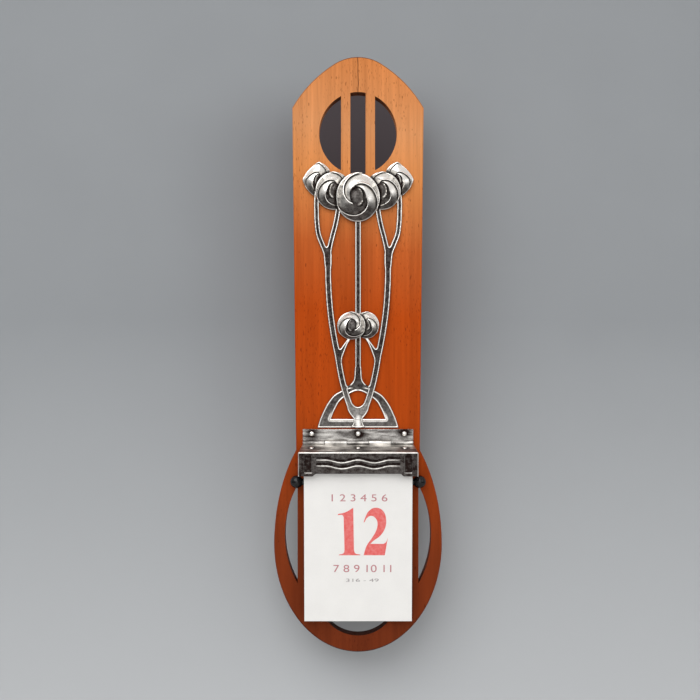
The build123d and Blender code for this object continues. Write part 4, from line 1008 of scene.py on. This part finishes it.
def hood_front_mesh(swing):
    """The cast front: bright frame at top and sides, two wavy lips with a groove above each, and two sunk windows."""
    w, foot, top = FRONT_HALF_WIDTH, FRONT_FOOT, FRONT_TOP
    xs = np.arange(-w - FRONT_MARGIN, w + FRONT_MARGIN, FRONT_CELL_ACROSS)
    ys = np.arange(foot - FRONT_MARGIN, top + FRONT_MARGIN, FRONT_CELL_UP)
    grid = np.stack(np.meshgrid(xs, ys), -1)
    depth = inside_outline(grid, front_outline())
    x, y = grid[..., 0], grid[..., 1]
    head = eased(top - y, FRONT_FRAME, FRONT_FRAME - 0.3)
    sides = eased(w - np.abs(x), FRONT_FRAME - 0.2, FRONT_FRAME - 0.5)
    level = FRONT_FACE - FRONT_SINK * (1 - np.maximum(head, sides))
    wear = np.maximum(0.12 - 0.06 * eased(np.abs(x), 26.5, 29.0) + 0.8 * head, 0.85 * sides)
    along = np.abs(x) / WAVE_HALF_LENGTH
    inside, rubbed = eased(along, 1.0, 0.97), 0.3 + 0.3 * eased(along, 1.0, 0.8)
    wave = swing * np.cos(2 * math.pi * np.minimum(along * WAVE_TURNS, 1.0))
    for drop in WAVE_DROPS:
        over = y - (top - drop + wave)
        lip, groove = ridge(over, *WAVE_LIP) * inside, ridge(over, *WAVE_GROOVE) * inside
        level = level + WAVE_LIP_RISE * lip - WAVE_GROOVE_SINK * groove
        # The lips are painted bright as lit and rubbed, and the grooves above them darkened with tarnish and painted
        # shade
        wear = np.clip(wear + rubbed * lip - 0.4 * groove, 0.0, 1.0)
    for side in (-1, 1):
        aside = side * x - (w - WINDOW_INSET - WINDOW_WIDTH / 2)
        below = (top - WINDOW_DROP) - y
        within = np.minimum(WINDOW_WIDTH / 2 - np.abs(aside), np.minimum(below, WINDOW_HEIGHT - below))
        level = level - WINDOW_SINK * eased(within, -0.1, 0.25)
        # Painted shade darkens the sunk window
        wear = wear * (1 - eased(within, -0.3, 0.2))
        # Light catches the lower and the inner edge
        lower = eased(below, WINDOW_HEIGHT - 0.9, WINDOW_HEIGHT - 0.2)
        inner = eased(aside, -WINDOW_WIDTH / 2 + 0.9, -WINDOW_WIDTH / 2 + 0.2)
        lit = np.maximum(lower, 0.75 * inner)
        wear = np.maximum(wear, 0.6 * ridge(within, 0.02, 0.24) * lit)
    round_off = np.clip(depth / FRONT_ROUND, 0.0, 1.0)
    level = np.minimum(level - 0.25 * (1 - np.sin(round_off * math.pi / 2)), FRONT_FACE)
    return raised("hood_front_cast", grid, depth, level, wear, back=FRONT_BACK, closed=True)


class CALENDAR_OT_hood(bpy.types.Operator):
    """Round and rub the edges of the hinge strip and of the hood's plates, and cast the hood's front"""

    bl_idname = "calendar.hood"
    bl_label = "Hinge and hood"

    def execute(self, context):
        sizes = context.scene.calendar_sizes
        finish = finishes(context)
        rivets = [rivet_place(x, 0.0) for x in RIVETS]
        # Node, body, wear of its faces near the wood and far out, and its stains with their reach
        for node, body, *looks in (
            ("hinge_strip", "frame", (0.45, 0.45), NAIL_PLACES, 3.6 * MM),
            ("hood_cover", "hood", (0.66, 0.40), rivets, 2.2 * MM),
            ("hood_cheek_left", "hood", (0.3, 0.3)), ("hood_cheek_right", "hood", (0.3, 0.3)),
        ):
            mesh = rubbed_copy(node, sizes.worn_edge, *looks)
            piece(node + "_rubbed", mesh, finish["sheet_silver"], body, "silver", node)
        front = hood_front_mesh(sizes.wave_swing / MM)
        piece("hood_front_cast", front, finish["silver"], "hood", "silver", "hood_front")
        keep_nodes(finish, "steel", "hinge_pin", "pad_spring")
        return {"FINISHED"}


def start_tree(name, numbers, **others):
    """Start a Geometry Nodes tree with points, numbers and other kinds going in and a geometry coming out."""
    tree = bpy.data.node_groups.new(name, "GeometryNodeTree")
    for key, kind in {"Points": "Geometry", **dict.fromkeys(numbers, "Float"), **others}.items():
        tree.interface.new_socket(key, in_out="INPUT", socket_type="NodeSocket" + kind)
    tree.interface.new_socket("Grown", in_out="OUTPUT", socket_type="NodeSocketGeometry")
    return tree, add(tree, "NodeGroupInput").outputs


def head_tree():
    """Geometry Nodes: a domed head on a shank at each point."""
    tree, given = start_tree(
        "domed_fastener", ("Head Radius", "Head Rise", "Shank Radius", "Shank Length", "Tilt", "Lit"), Metal="Material")
    dome = add(tree, "GeometryNodeMeshUVSphere", {"Segments": 32, "Rings": 20, "Radius": given["Head Radius"]})
    height = add(tree, "ShaderNodeSeparateXYZ", {0: add(tree, "GeometryNodeInputPosition")}).outputs[2]
    below = add(tree, "FunctionNodeCompare", {0: height, 1: -1e-6}, operation="LESS_THAN")
    half = add(tree, "GeometryNodeDeleteGeometry", {0: dome, 1: below}, domain="POINT")
    flat = add(tree, "ShaderNodeMath", {0: given["Head Rise"], 1: given["Head Radius"]}, operation="DIVIDE")
    squash = add(tree, "ShaderNodeCombineXYZ", {0: 1.0, 1: 1.0, 2: flat})
    head = add(tree, "GeometryNodeTransform", {"Geometry": half, "Scale": squash})
    shank = add(tree, "GeometryNodeMeshCylinder", {
        "Vertices": 20, "Radius": given["Shank Radius"], "Depth": given["Shank Length"]}, fill_type="NGON")
    down = add(tree, "ShaderNodeMath", {0: given["Shank Length"], 1: -0.5}, operation="MULTIPLY")
    shank = add(tree, "GeometryNodeTransform", {
        "Geometry": shank, "Translation": add(tree, "ShaderNodeCombineXYZ", {2: down})})
    disc = add(tree, "GeometryNodeMeshCircle", {"Vertices": 32, "Radius": given["Head Radius"]}, fill_type="NGON")
    under = add(tree, "GeometryNodeFlipFaces", {0: disc})
    whole = add(tree, "GeometryNodeJoinGeometry")
    for part in (head, under, shank):
        tree.links.new(part.outputs[0], whole.inputs[0])
    turn = add(tree, "FunctionNodeEulerToRotation", {0: add(tree, "ShaderNodeCombineXYZ", {0: given["Tilt"]})})
    spots = add(tree, "GeometryNodeMeshToPoints", {"Mesh": given["Points"]})
    set_out = add(tree, "GeometryNodeInstanceOnPoints", {"Points": spots, "Instance": whole, "Rotation": turn})
    real = add(tree, "GeometryNodeRealizeInstances", {0: set_out})
    lit = add(tree, "GeometryNodeStoreNamedAttribute", {
        "Geometry": real, "Name": "wear", "Value": given["Lit"]}, data_type="FLOAT", domain="POINT")
    even = add(tree, "GeometryNodeSetShadeSmooth", {"Geometry": lit})
    done = add(tree, "GeometryNodeSetMaterial", {"Geometry": even, "Material": given["Metal"]})
    add(tree, "NodeGroupOutput", {0: done})
    return tree


def grown(name, points, tree, values):
    """A plain mesh grown by a node tree from a set of points."""
    seed = bpy.data.meshes.new(name)
    seed.from_pydata([tuple(p) for p in points], [], [])
    made = bpy.data.objects.new(name, seed)
    bpy.context.scene.collection.objects.link(made)
    modifier = made.modifiers.new("grow", "NODES")
    modifier.node_group = tree
    for item in tree.interface.items_tree:
        if item.item_type == "SOCKET" and item.in_out == "INPUT" and item.name in values:
            modifier[item.identifier] = values[item.name]
    return evaluated_mesh(made)


class CALENDAR_OT_fasteners(bpy.types.Operator):
    """Set the nails, rivets, screws, brads and pins"""

    bl_idname = "calendar.fasteners"
    bl_label = "Nails and rivets"

    def execute(self, context):
        finish = finishes(context)
        tree = head_tree()
        # Node, places and body, then radius and rise of the head and radius and length of the shank in mm, and tilt
        for name, points, body, radius, rise, shank, length, tilt in (
            ("strip_nails", NAIL_PLACES, "frame", 1.5, 0.9, 0.7, 6.2, math.pi / 2),
            ("cover_rivets", [rivet_place(x, -0.5) for x in RIVETS], "hood", 1.3, 0.7, 0.7, 1.8, COVER_SLOPE),
        ):
            mesh = grown(name + "_domed", points, tree, {
                "Head Radius": radius * MM, "Head Rise": rise * MM, "Shank Radius": shank * MM,
                "Shank Length": length * MM, "Tilt": tilt, "Lit": 1.0, "Metal": finish["silver"]})
            piece(name + "_domed", mesh, None, body, "silver", name)
        keep_nodes(finish, "brass", "hanger_screws", "ornament_pins", "pad_brads")
        return {"FINISHED"}


# The ball ends in millimetres: the ball's middle and radius, and its neck's radius and start
BALL_MIDDLE, BALL_RADIUS, NECK_RADIUS, NECK_START = 37.88, 3.95, 2.2, 33.4
BALL_STEPS = 24


def turned_mesh(name, profile, steps=48):
    """A mesh turned about X from a profile of (x, radius) in millimetres round the rod's middle line."""
    form = bmesh.new()
    rings = []
    for x, radius in profile:
        if radius < 1e-6:
            rings.append([form.verts.new(at(x, ROD_HEIGHT, ROD_REACH))])
            continue
        ring = []
        for i in range(steps):
            turn = 2 * math.pi * i / steps
            up, out = radius * math.cos(turn), radius * math.sin(turn)
            ring.append(form.verts.new(at(x, ROD_HEIGHT + up, ROD_REACH + out)))
        rings.append(ring)
    for a, b in zip(rings, rings[1:]):
        for i in range(steps):
            j = (i + 1) % steps
            corners = list(dict.fromkeys([a[i % len(a)], a[j % len(a)], b[j % len(b)], b[i % len(b)]]))
            if len(corners) > 2:
                form.faces.new(corners)
    bmesh.ops.recalc_face_normals(form, faces=form.faces)
    return finished(name, form, 40)


def ball_profile():
    """Profile of a ball end: a short neck with a broken edge, and the ball, which closes on the rod's middle line."""
    profile = [
        (NECK_START, 0.0), (NECK_START, NECK_RADIUS - 0.25), (NECK_START + 0.25, NECK_RADIUS),
        (NECK_START + 0.9, NECK_RADIUS * 0.97)]
    first = math.asin(NECK_RADIUS / BALL_RADIUS)
    for i in range(BALL_STEPS + 1):
        turn = first + (math.pi - first) * i / BALL_STEPS
        radius = BALL_RADIUS * math.sin(turn) if i < BALL_STEPS else 0.0
        profile.append((BALL_MIDDLE - BALL_RADIUS * math.cos(turn), radius))
    return profile


class CALENDAR_OT_rod(bpy.types.Operator):
    """Turn the enamelled ball ends and finish the rod and its eyes"""

    bl_idname = "calendar.rod"
    bl_label = "Rod and balls"

    def execute(self, context):
        finish = finishes(context)
        for side, node in ((-1, "rod_ball_left"), (1, "rod_ball_right")):
            mesh = turned_mesh(node, [(side * x, r) for x, r in ball_profile()])
            piece(node + "_turned", mesh, finish["black_enamel"], "rod", "black_enamel", node)
        keep_nodes(finish, "steel", "pad_rod")
        keep_nodes(finish, "brass", "rod_eye_left", "rod_eye_right")
        return {"FINISHED"}


# The pad in millimetres: up from the rod, and out of it

PAD_HALF_WIDTH = 33.0
PAD_TOP = 13.95
PAD_FOOT = -85.05
BLOCK_BACK, BLOCK_FRONT = 3.7, 8.1
LEAF_BACK, LEAF_FRONT = 8.15, 8.4
LEAF_SHORT = 2.0
LEAF_SHARE = 0.82
LEAF_CELLS_ACROSS, LEAF_CELLS_UP = 16, 44
INK_RISE = 0.05


def leaf_tree():
    """Geometry Nodes: leaves stacked on a row of points, each a little out of line."""
    tree, given = start_tree(
        "leaf_stack", ("Width", "Height", "Thickness", "Stray", "Lean"), Seed="Int", Paper="Material")
    size = add(tree, "ShaderNodeCombineXYZ", {0: given["Width"], 1: given["Thickness"], 2: given["Height"]})
    leaf = add(tree, "GeometryNodeMeshCube", {"Size": size})
    spots = add(tree, "GeometryNodeMeshToPoints", {"Mesh": given["Points"]})
    far = add(tree, "ShaderNodeCombineXYZ", {0: given["Stray"], 2: given["Stray"]})
    near = add(tree, "ShaderNodeVectorMath", {0: far, "Scale": -1.0}, operation="SCALE")
    stray = add(tree, "FunctionNodeRandomValue", {0: near, 1: far, "Seed": given["Seed"]}, data_type="FLOAT_VECTOR")
    moved = add(tree, "GeometryNodeSetPosition", {"Geometry": spots, "Offset": stray})
    turn = add(tree, "FunctionNodeEulerToRotation", {0: add(tree, "ShaderNodeCombineXYZ", {0: given["Lean"]})})
    stack = add(tree, "GeometryNodeInstanceOnPoints", {"Points": moved, "Instance": leaf, "Rotation": turn})
    real = add(tree, "GeometryNodeRealizeInstances", {0: stack})
    done = add(tree, "GeometryNodeSetMaterial", {"Geometry": real, "Material": given["Paper"]})
    add(tree, "NodeGroupOutput", {0: done})
    return tree


def leaf_wave(x, up):
    """How far the top leaf stands out of flat, in millimetres."""
    return max(0.05 * math.sin(x * 0.11 + up * 0.05) + 0.04 * math.cos(up * 0.13), 0.0)


def top_leaf_mesh():
    """The top leaf: a sheet with a faint wave, with a front, a back and the edge between them."""
    form = bmesh.new()
    across = [PAD_HALF_WIDTH * (2 * i / LEAF_CELLS_ACROSS - 1) for i in range(LEAF_CELLS_ACROSS + 1)]
    faces = []
    for out in (LEAF_FRONT, LEAF_BACK + 0.05):
        rows = []
        for j in range(LEAF_CELLS_UP + 1):
            up = PAD_FOOT + (PAD_TOP - LEAF_SHORT - PAD_FOOT) * j / LEAF_CELLS_UP
            rows.append([form.verts.new(on_pad(x, up, out + leaf_wave(x, up))) for x in across])
        faces.append(rows)
    edges = []
    for rows, flip in zip(faces, (False, True)):
        for a, b in zip(rows, rows[1:]):
            for i in range(LEAF_CELLS_ACROSS):
                quad = (a[i], a[i + 1], b[i + 1], b[i])
                form.faces.new(quad[::-1] if flip else quad)
        edges.append(rows[0] + [r[-1] for r in rows[1:]] + rows[-1][-2::-1] + [r[0] for r in rows[-2:0:-1]])
    front, back = edges
    ring_faces(form, back, front)
    bmesh.ops.recalc_face_normals(form, faces=form.faces)
    return finished("top_leaf_sheet", form, 50)


class CALENDAR_OT_pad(bpy.types.Operator):
    """Stack the pad's leaves on their card, with the top leaf"""

    bl_idname = "calendar.pad"
    bl_label = "Tear-off pad"

    def execute(self, context):
        sizes = context.scene.calendar_sizes
        finish = finishes(context)
        pitch = (BLOCK_FRONT - BLOCK_BACK) / sizes.leaves
        middle = (PAD_TOP + PAD_FOOT) / 2
        points = [on_pad(0.0, middle, BLOCK_BACK + (i + 0.5) * pitch) for i in range(sizes.leaves)]
        stray = sizes.leaf_stray
        values = {
            "Width": 2 * PAD_HALF_WIDTH * MM - 2 * stray, "Height": (PAD_TOP - PAD_FOOT) * MM - 2 * stray,
            "Thickness": pitch * LEAF_SHARE * MM, "Stray": stray, "Lean": PAD_LEAN, "Seed": 4,
            "Paper": finish["paper"],
        }
        piece("pad_leaves", grown("pad_leaves", points, leaf_tree(), values), None, "pad", "paper", "pad_block")
        mesh = top_leaf_mesh()
        mesh.materials.append(finish["paper"])
        leaf = bpy.data.objects.new("top_leaf_sheet", mesh)
        context.scene.collection.objects.link(leaf)
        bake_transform(leaf)
        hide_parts("top_leaf")
        keep_nodes(finish, "card", "pad_card")
        keep_nodes(finish, "tinplate", "pad_clip", "pad_sleeve")
        return {"FINISHED"}


# Broad upright numerals in shares of their height: across, up, and whether the outline is smooth there

NUMERAL_ONE = (
    (0.00, 0.868, 0), (0.16, 0.905, 1), (0.325, 1.0, 0), (0.340, 0.12, 0), (0.365, 0.045, 1), (0.475, 0.014, 0),
    (0.475, 0.0, 0), (0.02, 0.0, 0), (0.02, 0.014, 0), (0.12, 0.045, 1), (0.14, 0.12, 0), (0.122, 0.80, 0),
    (0.10, 0.842, 1), (0.00, 0.846, 0),
)
NUMERAL_TWO = (
    (0.545, 0.69, 0), (0.582, 0.80, 1), (0.655, 0.93, 1), (0.79, 1.0, 1), (0.945, 0.945, 1), (1.02, 0.77, 1),
    (0.995, 0.56, 1), (0.89, 0.405, 1), (0.755, 0.305, 1), (0.685, 0.24, 0), (0.97, 0.24, 0), (1.02, 0.275, 1),
    (1.06, 0.37, 0), (0.995, 0.0, 0), (0.545, 0.0, 0), (0.61, 0.20, 1), (0.72, 0.36, 1), (0.81, 0.52, 1),
    (0.84, 0.65, 1), (0.81, 0.765, 1), (0.71, 0.83, 1), (0.622, 0.79, 1), (0.565, 0.70, 0),
)


# Prints: width, middle across and foot up from the rod in millimetres, and ink; rows have words and a height first
NUMBER_PLACE = (30.5, 2.9, -43.7, "ink_red")
ROWS = {
    "row_above": ("1 2 3 4 5 6", 4.4, 34.0, 0.8, -10.3, "ink_dull_red"),
    "row_below": ("7 8 9 10 11", 4.6, 35.5, 2.6, -54.3, "ink_dull_red"),
    "row_small": ("316 - 49", 2.0, 20.0, 2.6, -60.3, "ink_grey"),
}


def number_curve():
    """The day's large number as a filled outline."""
    large = bpy.data.curves.new("day_number", "CURVE")
    large.dimensions = "2D"
    large.fill_mode = "BOTH"
    for numeral in (NUMERAL_ONE, NUMERAL_TWO):
        line = large.splines.new("BEZIER")
        line.use_cyclic_u = True
        line.resolution_u = 8
        line.bezier_points.add(len(numeral) - 1)
        for point, (across, up, even) in zip(line.bezier_points, numeral):
            point.co = (across, up, 0.0)
            point.handle_left_type = point.handle_right_type = "AUTO" if even else "VECTOR"
    return large


def printed_mesh(curve, height, width, middle, foot):
    """A curve's filled shape as a mesh, fitted to its size and laid on the top leaf."""
    made = bpy.data.objects.new(curve.name, curve)
    bpy.context.scene.collection.objects.link(made)
    mesh = bpy.data.meshes.new_from_object(made.evaluated_get(bpy.context.evaluated_depsgraph_get()))
    bpy.data.objects.remove(made)
    flat = np.array([v.co[:2] for v in mesh.vertices])
    low, high = flat.min(0), flat.max(0)
    for v in mesh.vertices:
        x = middle + ((v.co.x - low[0]) / (high[0] - low[0]) - 0.5) * width
        up = foot + (v.co.y - low[1]) / (high[1] - low[1]) * height
        v.co = on_pad(x, up, LEAF_FRONT + leaf_wave(x, up) + INK_RISE)
    if mesh.polygons[0].normal.y > 0:
        mesh.flip_normals()
    return mesh


class CALENDAR_OT_print(bpy.types.Operator):
    """Print plain numbers on the top leaf"""

    bl_idname = "calendar.print"
    bl_label = "Printed numbers"

    def execute(self, context):
        finish = finishes(context)
        prints = [(number_curve(), context.scene.calendar_sizes.number_height / MM, *NUMBER_PLACE)]
        for name, (words, *place) in ROWS.items():
            text = bpy.data.curves.new(name, "FONT")
            text.body = words
            prints.append((text, *place))
        for curve, *place, ink in prints:
            piece(curve.name, printed_mesh(curve, *place), finish[ink], "leaf", "paper")
            bpy.data.curves.remove(curve)
        return {"FINISHED"}


# The stage, in metres: the backdrop stands a gap behind the foot and leans away; the floor meets it below

BACKDROP_GAP, BACKDROP_LEAN, BACKDROP_HEIGHT, BACKDROP_HALF_WIDTH = 0.025, 0.15, 0.85, 0.6
FLOOR_DROP, FLOOR_REACH, FLOOR_HALF_WIDTH = 0.12, 1.4, 0.9
# Place, width and watts of each lamp, and the place that all light
LAMPS = (
    ("key", (-0.40, -1.08, 0.86), 1.5, 13.2), ("front", (0.12, -1.5, 0.08), 1.3, 4.4),
    ("side", (1.0, -0.75, 0.15), 0.7, 1.2),
)
LIT_PLACE = (0.0, 0.0, -0.17)
CAMERA_PLACE = (-0.00497, -0.6274, -0.1710)
CAMERA_LENS, CAMERA_SENSOR = 51.22, 36.0


def set_sheets(scene):
    """The leaning backdrop and the floor that meets it."""
    foot = PANEL_LOW.z
    wall = [
        (x, BACKDROP_GAP + (z - foot) * BACKDROP_LEAN, z) for z in (foot - FLOOR_DROP, foot + BACKDROP_HEIGHT)
        for x in (-BACKDROP_HALF_WIDTH, BACKDROP_HALF_WIDTH)]
    floor = [
        (x, y, foot - FLOOR_DROP) for y in (-FLOOR_REACH, BACKDROP_GAP - FLOOR_DROP * BACKDROP_LEAN)
        for x in (-FLOOR_HALF_WIDTH, FLOOR_HALF_WIDTH)]
    for name, places, cover in (("backdrop", wall, "backdrop_card"), ("floor", floor, "floor_pale")):
        mesh = bpy.data.meshes.new(name)
        mesh.from_pydata(places, [], [(0, 1, 3, 2)])
        mesh.materials.append(bpy.data.materials[cover])
        sheet = bpy.data.objects.new(name, mesh)
        scene.collection.objects.link(sheet)


def set_lamps(scene):
    """Soft round lamps, all turned to one place."""
    for name, place, width, power in LAMPS:
        lamp = bpy.data.lights.new(name, "AREA")
        lamp.shape = "DISK"
        lamp.size = width
        lamp.energy = power
        holder = bpy.data.objects.new(name, lamp)
        holder.location = place
        holder.rotation_euler = (Vector(LIT_PLACE) - Vector(place)).to_track_quat("-Z", "Y").to_euler()
        scene.collection.objects.link(holder)


def light_room(scene):
    """A room that is bright above and dim below, which polished silver shows."""
    scene.world = scene.world or bpy.data.worlds.new("room")
    scene.world.use_nodes = True
    tree = scene.world.node_tree
    tree.nodes.clear()
    up = add(tree, "ShaderNodeSeparateXYZ", {0: add(tree, "ShaderNodeTexCoord").outputs["Generated"]}).outputs[2]
    height = add(tree, "ShaderNodeMapRange", {"Value": up, "From Min": -1.0, "From Max": 1.0})
    glow = add(tree, "ShaderNodeValToRGB", {"Fac": height}, stops=(
        (0.2, 0.04), (0.46, 0.18), (0.6, 0.55), (0.8, 0.95), (1.0, 1.0)))
    room = add(tree, "ShaderNodeBackground", {"Color": (*linear("#e1e1e1"), 1.0), "Strength": glow})
    add(tree, "ShaderNodeOutputWorld", {"Surface": room})


def set_camera(scene):
    """The camera, level and square on."""
    eye = bpy.data.cameras.new("eye")
    eye.lens = CAMERA_LENS
    eye.sensor_width = CAMERA_SENSOR
    camera = bpy.data.objects.new("eye", eye)
    camera.location = CAMERA_PLACE
    camera.rotation_euler = (math.pi / 2, 0.0, 0.0)
    scene.collection.objects.link(camera)
    scene.camera = camera


class CALENDAR_OT_stage(bpy.types.Operator):
    """Set the grey backdrop, pale floor, soft lamps and camera"""

    bl_idname = "calendar.stage"
    bl_label = "Stage"

    def execute(self, context):
        scene = context.scene
        scene.view_settings.view_transform = "Standard"
        backdrop_card(tuple(scene.calendar_colours.backdrop), tuple(scene.calendar_colours.painted_shade))
        pale_floor(linear("#d9d9d8"))
        set_sheets(scene)
        set_lamps(scene)
        light_room(scene)
        set_camera(scene)
        return {"FINISHED"}


class CALENDAR_PT_pieces(bpy.types.Panel):
    """Buttons for the pieces of the calendar and their sizes and colours"""

    bl_label = "Wall calendar"
    bl_idname = "CALENDAR_PT_pieces"
    bl_space_type = "VIEW_3D"
    bl_region_type = "UI"
    bl_category = "Calendar"

    def draw(self, context):
        column = self.layout.column(align=True)
        for operator in OPERATORS:
            column.operator(operator.bl_idname)
        for group in (context.scene.calendar_sizes, context.scene.calendar_colours):
            column.separator()
            for name in group.bl_rna.properties.keys():
                if name not in ("rna_type", "name"):
                    column.prop(group, name)


OPERATORS = (
    CALENDAR_OT_panel, CALENDAR_OT_stems, CALENDAR_OT_roses, CALENDAR_OT_hood, CALENDAR_OT_fasteners,
    CALENDAR_OT_rod, CALENDAR_OT_pad, CALENDAR_OT_print, CALENDAR_OT_stage,
)
CLASSES = (CalendarSizes, CalendarColours, *OPERATORS, CALENDAR_PT_pieces)


def register():
    """Make the calendar's classes and settings known to Blender."""
    for kind in CLASSES:
        bpy.utils.register_class(kind)
    bpy.types.Scene.calendar_sizes = PointerProperty(type=CalendarSizes)
    bpy.types.Scene.calendar_colours = PointerProperty(type=CalendarColours)


def unregister():
    """Take the calendar's classes and settings away again."""
    del bpy.types.Scene.calendar_colours
    del bpy.types.Scene.calendar_sizes
    for kind in reversed(CLASSES):
        bpy.utils.unregister_class(kind)


def main():
    """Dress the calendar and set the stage."""
    register()
    bpy.ops.calendar.panel()
    bpy.ops.calendar.stems()
    bpy.ops.calendar.roses()
    bpy.ops.calendar.hood()
    bpy.ops.calendar.fasteners()
    bpy.ops.calendar.rod()
    bpy.ops.calendar.pad()
    bpy.ops.calendar.print()
    bpy.ops.calendar.stage()


if __name__ == "__main__":
    main()
